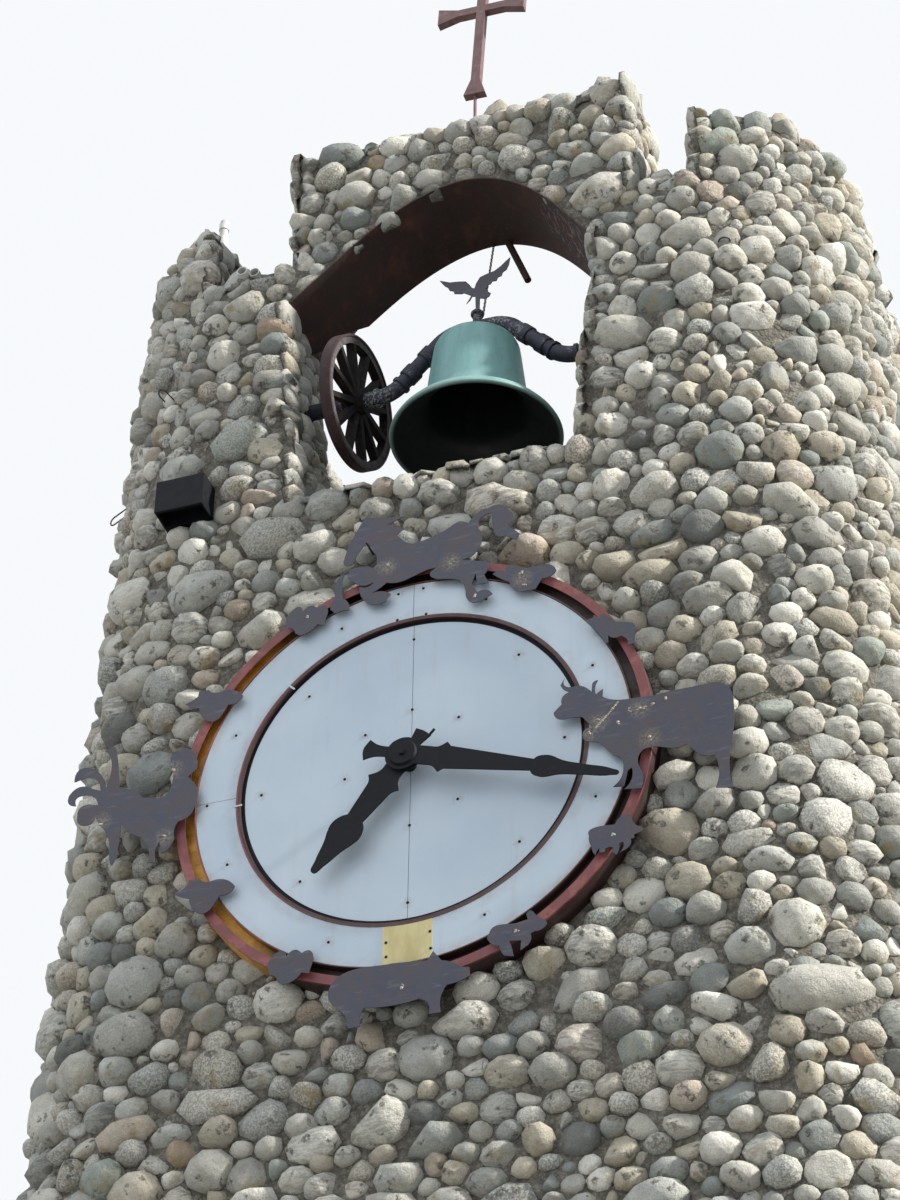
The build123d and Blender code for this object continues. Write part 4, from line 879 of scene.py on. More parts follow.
def cobble_finish():
    """River cobbles: plain, speckled and banded greys, tans and greens, smeared with mortar."""
    f = Finish("river_cobbles", roughness=0.8)
    grain, age, edge = (f.attribute(name) for name in ("grain", "age", "edge"))
    base = f.ramp(f.attribute("tone"), COBBLE_TONES, "CONSTANT")
    cloud = f.span(f.noise(7.0, 5.0, 0.62), 0.3, 0.7, 0.76, 1.18)
    base = f.mix(1.0, base, cloud, "MULTIPLY")
    salt = f.span(f.noise(75.0, 3.0, 0.65), 0.46, 0.54)
    salt = f.mix(salt, (0.20, 0.20, 0.19), (0.62, 0.61, 0.56))
    base = f.mix(f.span(grain, 0.70, 0.97, 0.0, 0.6), base, salt)
    bands = f.noise(15.0, 4.0, 0.65, f.stretch((0.7, 0.7, 2.6), (0.5, 0.3, 0.2)), 0.7)
    stripe = f.mix(f.span(bands, 0.42, 0.56), (0.23, 0.22, 0.20), (0.60, 0.585, 0.53))
    base = f.mix(f.span(grain, 0.26, 0.05, 0.0, 0.66), base, stripe)

    # Ochre stains of the old ones, most of all on their undersides
    ochre = f.times(f.span(f.noise(8.0, 5.0, 0.6), 0.50, 0.64), f.span(age, 0.35, 0.9))
    below = f.times(ochre, f.span(f.facing("Z"), 0.4, -0.5, 0.25, 0.85))
    base = f.mix(below, base, (0.27, 0.215, 0.11))
    fine = f.span(f.noise(170.0, 4.0, 0.7), 0.3, 0.7, 0.66, 1.26)
    stone = f.mix(1.0, base, fine, "MULTIPLY")

    # Mortar smeared over the stones, more of it towards their feet, then painted shade that darkens
    # each stone's foot where it meets the joint
    gravel = f.noise(48.0, 5.0, 0.7)
    crust = f.mix(f.span(gravel, 0.4, 0.62), (0.12, 0.112, 0.094), (0.38, 0.36, 0.31))
    patch = f.maths("ADD", f.noise(10.0, 5.0, 0.65), f.span(edge, 0.30, 0.95, 0.0, 0.24))
    smear = f.span(patch, 0.60, 0.66)
    colour = f.mix(smear, stone, crust)
    # Painted shade: each stone goes dark towards its foot, where it sinks into the joint
    colour = f.mix(f.span(edge, 0.72, 1.0, 0.0, 0.85), colour, (0.07, 0.064, 0.054))
    rough = f.bump(f.noise(24.0, 5.0, 0.62), 0.02, 0.9)
    rough = f.bump(f.times(gravel, smear), 0.02, 0.9, rough)
    rough = f.bump(f.noise(110.0, 4.0, 0.65), 0.005, 0.9, rough)
    return f.wear(colour, f.span(smear, 0.0, 1.0, 0.72, 0.95), rough)


def mortar_finish():
    """Coarse grey-brown mortar with gravel and small chips in it."""
    f = Finish("gravel_mortar", roughness=0.95)
    colour = f.ramp(f.noise(16.0, 6.0, 0.68),
                    [(0.3, (0.065, 0.060, 0.050)), (0.5, (0.14, 0.13, 0.11)),
                     (0.70, (0.31, 0.29, 0.25))])
    chips = f.cells(46.0)
    colour = f.mix(f.times(f.span(chips, 0.30, 0.18), 0.5), colour, (0.30, 0.285, 0.245))
    rough = f.bump(f.noise(22.0, 6.0, 0.7), 0.03, 1.0)
    return f.wear(colour, None, f.bump(chips, 0.012, 0.9, rough))


# Finishes of one noise and one bump: name, roughness, metallic, noise, stops, finer noise and bump
PLAIN = {
    "concrete": ("cast_slab", 0.9, 0.0, (3.0, 8.0, 0.6),
                 [(0.3, (0.30, 0.29, 0.27)), (0.7, (0.44, 0.43, 0.40))],
                 (60.0, 5.0), (0.004, 0.7)),
    "wheel_iron": ("rusty_tyre", 0.75, 0.2, (22.0, 6.0, 0.68),
                   [(0.3, (0.018, 0.009, 0.010)), (0.55, (0.034, 0.014, 0.016)),
                    (0.75, (0.070, 0.034, 0.032))],
                   (90.0, 5.0), (0.002, 0.7)),
    "white_pipe": ("weathered_pipe", 0.6, 0.0, (14.0, 5.0, 0.6),
                   [(0.3, (0.38, 0.38, 0.36)), (0.6, (0.62, 0.62, 0.60)),
                    (0.8, (0.50, 0.47, 0.42))],
                   (70.0, 4.0), (0.001, 0.6)),
    "cross_red": ("faded_maroon_paint", 0.6, 0.0, (12.0, 6.0, 0.62),
                  [(0.3, (0.10, 0.045, 0.052)), (0.55, (0.16, 0.085, 0.085)),
                   (0.75, (0.25, 0.16, 0.145))],
                  (60.0, 5.0), (0.002, 0.6)),
    "weld": ("weld_metal", 0.45, 0.4, (90.0, 4.0),
             [(0.35, (0.14, 0.115, 0.085)), (0.6, (0.38, 0.34, 0.27))],
             (160.0, 4.0), (0.002, 0.8)),
}


def plain_finish(slot):
    """Finish with one mottle of colours and one fine bump."""
    name, roughness, metallic, mottle, stops, fine, bump = PLAIN[slot]
    f = Finish(name, roughness, metallic)
    return f.wear(f.ramp(f.noise(*mottle), stops), None, f.bump(f.noise(*fine), *bump))


PEELING = (0.86, -2.35, SPRING_Z + 0.35)


def rusty_plate():
    """Dark rusted steel plate with dull streaks and a few blooms, peeling at the arch's end."""
    f = Finish("rusty_plate", roughness=0.8, metallic=0.1)
    runs = f.noise(7.0, 5.0, 0.6, f.stretch((1.0, 0.5, 0.22)))
    colour = f.ramp(runs, [(0.3, (0.020, 0.012, 0.011)), (0.52, (0.036, 0.017, 0.015)),
                           (0.64, (0.070, 0.029, 0.022)), (0.8, (0.115, 0.052, 0.036))])
    colour = f.stain(colour, (0.10, 0.045, 0.03), (30.0, 6.0, 0.7), 0.56, 0.72, 0.5)
    end = f.span(f.from_point(PEELING), 0.42, 0.12)
    flakes = f.noise(34.0, 6.0, 0.75, f.stretch((1.0, 0.35, 1.0), (0.2, 0, 0.5)))
    peeled = f.times(f.times(end, f.span(flakes, 0.53, 0.60)), 0.7)
    colour = f.mix(peeled, colour, (0.33, 0.29, 0.31))
    rough = f.bump(f.noise(70.0, 6.0, 0.65), 0.003, 0.8)
    return f.wear(colour, f.span(runs, 0.3, 0.7, 0.65, 0.9), rough)


def red_oxide():
    """Red oxide paint on the dial's ironwork, its channel amber on the left, rust and painted shade
    on the right.
    """
    f = Finish("red_oxide_paint", roughness=0.55)
    patchy = f.noise(9.0, 6.0, 0.62)
    out, across = f.from_dial(), f.part("X")
    red = f.ramp(patchy, [(0.30, (0.095, 0.022, 0.026)), (0.50, (0.17, 0.040, 0.044)),
                          (0.62, (0.25, 0.085, 0.082)), (0.78, (0.12, 0.045, 0.040))])
    amber = f.ramp(patchy, [(0.3, (0.30, 0.13, 0.016)), (0.5, (0.62, 0.31, 0.045)),
                            (0.7, (0.75, 0.47, 0.13))])

    # The rim's inner lip is dark, and the hoop's inner edge is painted near black as painted shade
    # of the gap before the disc
    lip = f.times(f.span(out, 1.392, 1.386), f.span(across, DIAL.x - 0.9, DIAL.x - 0.6))
    red = f.mix(lip, red, (0.060, 0.026, 0.022))
    # Painted shade: the hoop's inner edge goes near black, for the gap between hoop and disc
    red = f.mix(f.span(out, 1.106, 1.099), red, (0.040, 0.011, 0.015))
    # Inside the rim's channel: amber on the left, and on the right a dark brown that is rust and
    # painted shade of the recess
    left, rim = f.span(across, DIAL.x - 0.75, DIAL.x - 1.0), f.span(out, 1.25, 1.26)
    channel = f.mix(f.times(left, rim), (0.028, 0.011, 0.010), amber)
    inside = f.span(f.part("Y"), DIAL.y + 0.003, DIAL.y + 0.016)
    colour = f.mix(inside, red, channel)
    colour = f.stain(colour, (0.085, 0.035, 0.022), (40.0, 6.0, 0.7), 0.58, 0.68, 0.7)
    rough = f.bump(f.noise(90.0, 4.0), 0.0015, 0.6)
    return f.wear(colour, f.span(patchy, 0.3, 0.7, 0.45, 0.75), rough)


def enamel_sheet():
    """White sheet of the dial, faintly mottled, with grey runs under its fixings."""
    f = Finish("dial_sheet", roughness=0.36)
    out = f.from_dial()
    cloud = f.span(f.noise(1.6, 5.0, 0.5), 0.3, 0.7)
    white = f.mix(cloud, (0.385, 0.465, 0.56), (0.45, 0.53, 0.615))
    runs = f.noise(11.0, 5.0, 0.6, f.stretch((1.0, 1.0, 0.09)))
    white = f.mix(f.span(runs, 0.58, 0.75, 0.0, 0.3), white, (0.36, 0.38, 0.38))

    # Grime along the hoop and the rim, specks, and drips under the screws
    hoop = f.span(f.maths("ABSOLUTE", f.maths("SUBTRACT", out, 1.12)), 0.075, 0.0)
    grime = f.times(hoop, f.span(f.noise(7.0, 5.0, 0.65), 0.42, 0.7))
    white = f.mix(f.times(grime, 0.55), white, (0.27, 0.26, 0.26))
    edge = f.times(f.span(out, 1.30, 1.37), f.span(f.noise(9.0, 5.0, 0.65), 0.4, 0.65))
    white = f.mix(f.times(edge, 0.6), white, (0.34, 0.27, 0.22))
    white = f.stain(white, (0.32, 0.24, 0.17), (140.0, 2.0, 0.5), 0.70, 0.76, 0.5)
    near = f.spots(SHEET_SCREWS, 0.006, 0.05)
    drip = f.times(near, f.span(f.noise(30.0, 4.0), 0.4, 0.6, 0.0, 0.55))
    white = f.mix(drip, white, (0.25, 0.22, 0.20))
    waves = f.bump(f.noise(2.2, 2.0), 0.006, 0.25)
    return f.wear(white, f.span(runs, 0.4, 0.7, 0.3, 0.5), waves)


def yellowed_sheet():
    """Yellowed translucent sheet over the dial's lower edge."""
    f = Finish("yellowed_sheet", roughness=0.5)
    colour = f.ramp(f.noise(6.0, 5.0, 0.6, f.stretch((1, 1, 0.35))),
                    [(0.3, (0.40, 0.33, 0.14)), (0.55, (0.56, 0.49, 0.25)),
                     (0.75, (0.66, 0.62, 0.42))])
    return f.wear(colour, None, f.bump(f.noise(30.0, 3.0), 0.001, 0.5))


def mill_plate():
    """Blue-grey mill scale on the cut plates, with painted sheen streaks, rust freckles and burns
    round their welds.
    """
    f = Finish("mill_scale_plate", roughness=0.5, metallic=0.3)
    scale = f.noise(5.0, 6.0, 0.62)
    colour = f.ramp(scale, [(0.3, (0.026, 0.030, 0.048)), (0.46, (0.038, 0.040, 0.060)),
                            (0.58, (0.054, 0.048, 0.060)), (0.74, (0.074, 0.060, 0.062))])
    # Painted sheen: paler blue-grey streaks stand in for light glancing off the scale
    painted_sheen = (13.0, 3.0, 0.5, f.stretch((0.5, 1.0, 2.2), (0, 0.3, 0)))
    colour = f.stain(colour, (0.12, 0.125, 0.15), painted_sheen, 0.60, 0.70, 0.35)
    colour = f.stain(colour, (0.085, 0.048, 0.038), (20.0, 6.0, 0.7), 0.58, 0.74, 0.7)
    burnt = f.times(f.spots(WELD_BURNS, 0.012, 0.085), f.span(f.noise(55.0, 5.0, 0.7), 0.42, 0.60))
    colour = f.mix(f.times(burnt, 0.75), colour, (0.23, 0.195, 0.145))
    rough = f.bump(f.noise(60.0, 5.0), 0.0016, 0.7)
    return f.wear(colour, f.span(scale, 0.3, 0.7, 0.4, 0.65), rough)


def black_paint():
    """Black paint of the hands, dulled in patches."""
    f = Finish("black_hand_paint", roughness=0.6, specular=0.14)
    wear = f.noise(18.0, 5.0, 0.6)
    colour = f.ramp(wear, [(0.35, (0.004, 0.005, 0.007)), (0.6, (0.008, 0.009, 0.013)),
                           (0.8, (0.022, 0.022, 0.026))])
    rough = f.bump(f.noise(80.0, 4.0), 0.001, 0.5)
    return f.wear(colour, f.span(wear, 0.3, 0.7, 0.5, 0.75), rough)


def verdigris():
    """Bronze gone pale green, streaked down the waist, with painted shade making its mouth black.
    """
    f = Finish("verdigris_bronze", roughness=0.55, metallic=0.1)
    runs = f.noise(8.0, 5.0, 0.6, f.stretch((1.0, 1.0, 0.1)))
    colour = f.ramp(runs, [(0.28, (0.09, 0.22, 0.22)), (0.44, (0.135, 0.29, 0.29)),
                           (0.58, (0.17, 0.33, 0.335)), (0.76, (0.25, 0.36, 0.37))])
    colour = f.stain(colour, (0.13, 0.19, 0.16), (17.0, 6.0, 0.68), 0.54, 0.72, 0.55)
    skirt = f.span(f.part("Z"), BELL_LIP.z + 0.30, BELL_LIP.z + 0.12, 0.0, 0.4)
    colour = f.mix(skirt, colour, (0.24, 0.34, 0.30))
    # Painted shade: the inside of the bell is painted near black
    colour = f.mix(f.attribute("inside"), colour, (0.004, 0.007, 0.008))
    rough = f.bump(f.noise(45.0, 6.0, 0.6), 0.002, 0.7)
    return f.wear(colour, f.span(runs, 0.3, 0.7, 0.45, 0.7), rough)


def worn_pipe():
    """Dark blue-black paint on the yoke's pipe, chipped to rust and flaked to pale primer."""
    f = Finish("chipped_pipe_paint", roughness=0.5, metallic=0.1)
    chips = f.noise(26.0, 6.0, 0.7)
    colour = f.ramp(chips, [(0.4, (0.010, 0.013, 0.027)), (0.56, (0.022, 0.026, 0.045)),
                            (0.66, (0.055, 0.038, 0.036)), (0.75, (0.10, 0.07, 0.06))])
    flaked = f.times(f.span(f.noise(5.0, 2.0), 0.50, 0.60),
                     f.span(f.noise(60.0, 5.0, 0.7), 0.50, 0.56))
    colour = f.mix(f.times(flaked, 0.8), colour, (0.26, 0.27, 0.27))
    return f.wear(colour, f.span(chips, 0.3, 0.7, 0.5, 0.85), f.bump(chips, 0.003, 0.7))


def weathered_oak():
    """Nearly black weathered wood of the wheel, its felloes painted paler where the sun falls on
    them.
    """
    f = Finish("weathered_oak", roughness=0.85, specular=0.2)
    grain = f.noise(40.0, 6.0, 0.65, f.stretch((1.0, 0.22, 1.0), (0.3, 0.2, 0.1)))
    dark = f.ramp(grain, [(0.3, (0.005, 0.004, 0.005)), (0.5, (0.011, 0.008, 0.008)),
                          (0.7, (0.026, 0.019, 0.018))])
    pale = f.ramp(grain, [(0.3, (0.045, 0.038, 0.040)), (0.7, (0.14, 0.125, 0.13))])
    felloes = f.span(f.from_point(WHEEL_MIDDLE), 0.405, 0.415)
    # Painted sunlight: the felloes' faces towards +X, where the key sun comes from, are paler
    colour = f.mix(f.times(felloes, f.span(f.facing("X"), 0.4, 0.8)), dark, pale)
    return f.wear(colour, None, f.bump(grain, 0.004, 0.8))


SLOT_FINISHES = {
    "cobble": mortar_finish, "rust_steel": rusty_plate, "red_oxide": red_oxide,
    "dial_white": enamel_sheet, "dial_yellow": yellowed_sheet, "grey_plate": mill_plate,
    "black_paint": black_paint, "bronze": verdigris, "dark_pipe": worn_pipe,
    "wheel_wood": weathered_oak,
}
finishes = {}


def finish_of(slot):
    """Material for one of the record's slots, made once."""
    if slot not in finishes:
        finishes[slot] = plain_finish(slot) if slot in PLAIN else SLOT_FINISHES[slot]()
    return finishes[slot]


# Pieces
def dress(piece, material, body, node=None):
    """Gives a new piece its material, its body and the node whose shape it stands for."""
    piece.data.materials.clear()
    piece.data.materials.append(material)
    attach(piece, body)
    if node is not None:
        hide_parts(node)
    return piece


def new_piece(name, bm, smooth=True):
    """Object from a finished bmesh."""
    mesh = bpy.data.meshes.new(name)
    bmesh.ops.recalc_face_normals(bm, faces=bm.faces[:])
    bm.to_mesh(mesh)
    bm.free()
    for polygon in mesh.polygons:
        polygon.use_smooth = smooth
    return add_object(name, mesh)


def swept(name, knots, closed, **settings):
    """Shape of a curve through knots, each a place and two handles given as types or as points."""
    curve = bpy.data.curves.new(name, "CURVE")
    for label, value in settings.items():
        setattr(curve, label, value)
    spline = curve.splines.new("BEZIER")
    spline.bezier_points.add(len(knots) - 1)
    spline.use_cyclic_u = closed
    for knot, (place, *handles) in zip(spline.bezier_points, knots):
        knot.co = place
        for side, handle in zip(("handle_left", "handle_right"), handles):
            typed = isinstance(handle, str)
            setattr(knot, side + "_type", handle if typed else "FREE")
            if not typed:
                setattr(knot, side, handle)
    shape = add_object(name, curve)
    shaped = shape.evaluated_get(bpy.context.evaluated_depsgraph_get())
    mesh = bpy.data.meshes.new_from_object(shaped)
    bpy.data.objects.remove(shape)
    bpy.data.curves.remove(curve)
    bm = bmesh.new()
    bm.from_mesh(mesh)
    bpy.data.meshes.remove(mesh)
    bmesh.ops.remove_doubles(bm, verts=bm.verts[:], dist=MERGE)
    return bm


def plate(name, points, thickness, place, mirrored=False):
    """Flat plate from an outline of points and corner marks, with slightly eased edges."""
    if mirrored:
        points = points + [(x, -z, corner) for x, z, corner in reversed(points[1:-1])]
    knots = [((x, z, 0), *("VECTOR" if corner else "AUTO",) * 2) for x, z, corner in points]
    bm = swept(name + "_outline", knots, True, dimensions="2D", fill_mode="BOTH", resolution_u=6,
               extrude=thickness / 2 - PLATE_EASE, bevel_depth=PLATE_EASE, bevel_resolution=0)
    bmesh.ops.transform(bm, matrix=place, verts=bm.verts[:])
    return bm


def pipe_run(name, corners, radius, bend):
    """Pipe along straight runs with round bends."""
    knots = [(corners[0], "VECTOR", "VECTOR")]
    for before, corner, after in zip(corners, corners[1:], corners[2:]):
        enter = corner + (before - corner).normalized() * bend
        leave = corner + (after - corner).normalized() * bend
        knots += [(enter, "VECTOR", enter.lerp(corner, 0.55)),
                  (leave, leave.lerp(corner, 0.55), "VECTOR")]
    knots.append((corners[-1], "VECTOR", "VECTOR"))
    return swept(name, knots, False, dimensions="3D", bevel_depth=radius, bevel_resolution=4,
                 resolution_u=6, use_fill_caps=True)


def bevel(bm, edges, width):
    """Eases some edges in two steps."""
    bmesh.ops.bevel(bm, geom=edges, offset=width, affect="EDGES", segments=2, profile=0.5,
                    material=-1)


def edges_of(verts):
    """Edges that meet some points, each once."""
    return {e for v in verts for e in v.link_edges}


def rod(bm, start, end, radius, segments=20, far=None, ease=0.0):
    """Round bar between two points, with eased ends."""
    start, end = Vector(start), Vector(end)
    run = end - start
    turn = run.to_track_quat("Z", "Y").to_matrix().to_4x4()
    made = bmesh.ops.create_cone(bm, cap_ends=True, segments=segments, radius1=radius,
                                 radius2=radius if far is None else far, depth=run.length,
                                 matrix=Matrix.Translation((start + end) / 2) @ turn)["verts"]
    if ease:
        bevel(bm, [e for e in edges_of(made) if any(len(f.verts) > 4 for f in e.link_faces)], ease)


def head(bm, place, size, depth, squeeze=1.0, segments=10):
    """Low round head, lying in the plane of the dial."""
    shape = Matrix.Diagonal((size, depth, size * squeeze, 1))
    bmesh.ops.create_uvsphere(bm, u_segments=segments, v_segments=6, radius=1,
                              matrix=Matrix.Translation(place) @ shape)


def chain_link(bm, length, place, turn):
    """One oval chain link, its long side along its own Z."""
    made = bmesh.ops.create_circle(bm, radius=LINK_WIRE, segments=LINK_SIDES)["verts"]
    aside = Matrix.Translation((LINK_WIDTH / 2 - LINK_WIRE, 0, 0))
    bmesh.ops.transform(bm, matrix=aside, verts=made)
    bmesh.ops.spin(bm, geom=made + list(edges_of(made)), cent=(0, 0, 0), axis=(0, 1, 0),
                   angle=2 * math.pi, steps=LINK_STEPS, use_merge=True, use_duplicate=False)
    verts = [v for v in bm.verts if not v.tag]
    straight = (length - LINK_WIDTH) / 2
    for v in verts:
        v.co.z += straight if v.co.z > 1e-4 else (-straight if v.co.z < -1e-4 else 0)
    bmesh.ops.transform(bm, matrix=Matrix.Translation(place) @ turn, verts=verts)
    for v in verts:
        v.tag = True


def standing(x, y, z):
    """Turn of a plate's outline into the plane of the dial, with its origin at a place."""
    return Matrix(((1, 0, 0, x), (0, 0, -1, y), (0, 1, 0, z), (0, 0, 0, 1)))


# Settings that a user would change
class MasonrySettings(PropertyGroup):
    stone: FloatProperty(name="Stone", description="Mean radius of a cobble", default=0.104,
                         min=0.05, unit="LENGTH")
    joint: FloatProperty(name="Joint", description="Mortar left between two cobbles", default=0.007,
                         min=0.0, unit="LENGTH")
    seed: IntProperty(name="Seed", description="Number that the laying of the stones starts from",
                      default=11)


class StageSettings(PropertyGroup):
    lens: FloatProperty(name="Lens", description="Focal length over a 36 mm long side",
                        default=90.0)
    camera_place: FloatVectorProperty(name="Camera", description="Where the photographer stood",
                                      default=(4.932, -16.349, 1.585), subtype="XYZ", unit="LENGTH")
    floor_colour: FloatVectorProperty(name="Floor", description="Colour of the floor",
                                      default=(0.82, 0.82, 0.81), subtype="COLOR")


class FinishFrame(Operator):
    """Gives every node of the frame the finish that its record slot names"""
    bl_idname = "tower.finish_frame"
    bl_label = "Finish the Frame"

    def execute(self, context):
        for row in frame["record"]["subparts"]:
            mesh = NODES[row["node"]].data
            mesh.materials.clear()
            mesh.materials.append(finish_of(row["material_slot"]))
        return {"FINISHED"}


class LayCobbles(Operator):
    """Lays the river cobbles over every face of the masonry"""
    bl_idname = "tower.lay_cobbles"
    bl_label = "Lay the Cobbles"

    def execute(self, context):
        masonry = context.scene.tower_masonry
        size, joint, seed = masonry.stone, masonry.joint, masonry.seed
        cobbles = cobble_finish()

        def lay(name, batches, keep=None):
            dress(stone_mesh(name, batches, keep), cobbles, "tower")

        skin = Sheet(MEAN_ROUND, GABLE_TOP, skin_place, skin_allowed, True, skin_gaps())
        batch = stones(skin, seed, size, 0.26, joint)
        for name, keep in (
            ("cobbles_front", lambda n: -n[:, 1] >= abs(n[:, 0])),
            ("cobbles_back", lambda n: n[:, 1] > BACK_SLOPE * abs(n[:, 0])),
            ("cobbles_right", lambda n: (n[:, 0] > -n[:, 1]) & (BACK_SLOPE * n[:, 0] >= n[:, 1])),
            ("cobbles_left", lambda n: (-n[:, 0] > -n[:, 1]) & (-BACK_SLOPE * n[:, 0] >= n[:, 1])),
        ):
            lay(name, [batch], keep)
        room = Sheet(ROOM_ROUND, GABLE_TOP - FLOOR_Z, room_place, room_allowed, True)
        lay("cobbles_belfry_room", [stones(room, seed + 10, size, 0.27, joint)])
        lay("cobbles_parapet_tops", [stones(top_sheet(), seed + 20, size, 0.3, joint,
                                            height=(0.8, 2.0), sink=0.03, most=0.23)])
        lay("cobbles_reveals", [stones(sheet, seed + 30 + 3 * number, size, 0.25, joint,
                                       height=(0.35, 0.6), most=0.05)
                                for number, sheet in enumerate(cheeks())])
        return {"FINISHED"}


class TurnHands(Operator):
    """Cuts the two hands from plate and puts them on their arbors"""
    bl_idname = "tower.turn_hands"
    bl_label = "Turn the Hands"

    def execute(self, context):
        for node, (outline, angle, shaft) in HANDS.items():
            low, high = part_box(node)
            cosine, sine = math.cos(math.radians(angle)), math.sin(math.radians(angle))
            middle = Vector((DIAL.x, low.y + HAND_PLATE / 2, DIAL.z))
            place = Matrix(((cosine, -sine, 0, middle.x), (0, 0, -1, middle.y),
                            (sine, cosine, 0, middle.z), (0, 0, 0, 1)))
            bm = plate(node, outline, HAND_PLATE, place, mirrored=True)
            rod(bm, middle, (DIAL.x, high.y, DIAL.z), shaft)
            if node == "hour_hand":
                rod(bm, *(place @ Vector(end) for end in HOUR_PIN), HOUR_PIN_RADIUS, 10, ease=0.002)
            piece = new_piece(node + "_plate", bm, False)
            dress(piece, finish_of("black_paint"), node, node)
        return {"FINISHED"}


class FixDial(Operator):
    """Adds the screws, bolts and cleats of the dial and the welds of its plates"""
    bl_idname = "tower.fix_dial"
    bl_label = "Fix the Dial"

    def execute(self, context):
        screws = bmesh.new()
        disc_y, patch_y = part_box("dial_disc")[0].y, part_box("dial_patch")[0].y
        groups = ((SHEET_SCREWS, DIAL.y), (PATCH_SCREWS, patch_y), (HOOP_BOLTS, DIAL.y))
        for group, face_y in groups:
            for x, z in group:
                own_y = disc_y if group is SHEET_SCREWS and math.hypot(x, z) < 1 else face_y
                head(screws, (DIAL.x + x, own_y, DIAL.z + z), SCREW_RADIUS, SCREW_DEPTH)
        dress(new_piece("dial_screws", screws), finish_of("black_paint"), "tower")

        cleats = bmesh.new()
        for x, z in CLEATS:
            place = Matrix.Translation((DIAL.x + x, DIAL.y - CLEAT_PROUD, DIAL.z + z))
            turn = Matrix.Rotation(-math.atan2(z, x), 4, "Y")
            size = Matrix.Diagonal((*CLEAT_SIZE, 1))
            made = bmesh.ops.create_cube(cleats, size=1, matrix=place @ turn @ size)["verts"]
            bevel(cleats, list(edges_of(made)), CLEAT_EASE)
        piece = new_piece("dial_cleats", cleats, False)
        dress(piece, finish_of("dial_white"), "tower")

        # Spatter round each weld, and a seam of beads along the cow's neck
        rng = np.random.default_rng(context.scene.tower_masonry.seed)
        welds = bmesh.new()
        face_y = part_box("cow_plate")[0].y
        for x, z in WELD_SPOTS:
            for _ in range(SPATTER):
                dx, dz = rng.normal(0, SPATTER_SPREAD, 2)
                size = rng.uniform(*SPATTER_SIZES)
                head(welds, (DIAL.x + x + dx, face_y + SPATTER_SUNK, DIAL.z + z + dz), size,
                     SPATTER_DEPTH * size, rng.uniform(*SPATTER_SQUEEZES), WELD_SIDES)
        for (x, z), (next_x, next_z) in zip(NECK_SEAM, NECK_SEAM[1:]):
            for share in np.linspace(0, 1, SEAM_BEADS, endpoint=False):
                bead_x, bead_z = x + share * (next_x - x), z + share * (next_z - z)
                head(welds, (DIAL.x + bead_x, face_y + BEAD_SUNK, DIAL.z + bead_z),
                     rng.uniform(*BEAD_SIZES), BEAD_DEPTH, rng.uniform(*BEAD_SQUEEZES), WELD_SIDES)
        dress(new_piece("plate_welds", welds), finish_of("weld"), "tower")
        return {"FINISHED"}


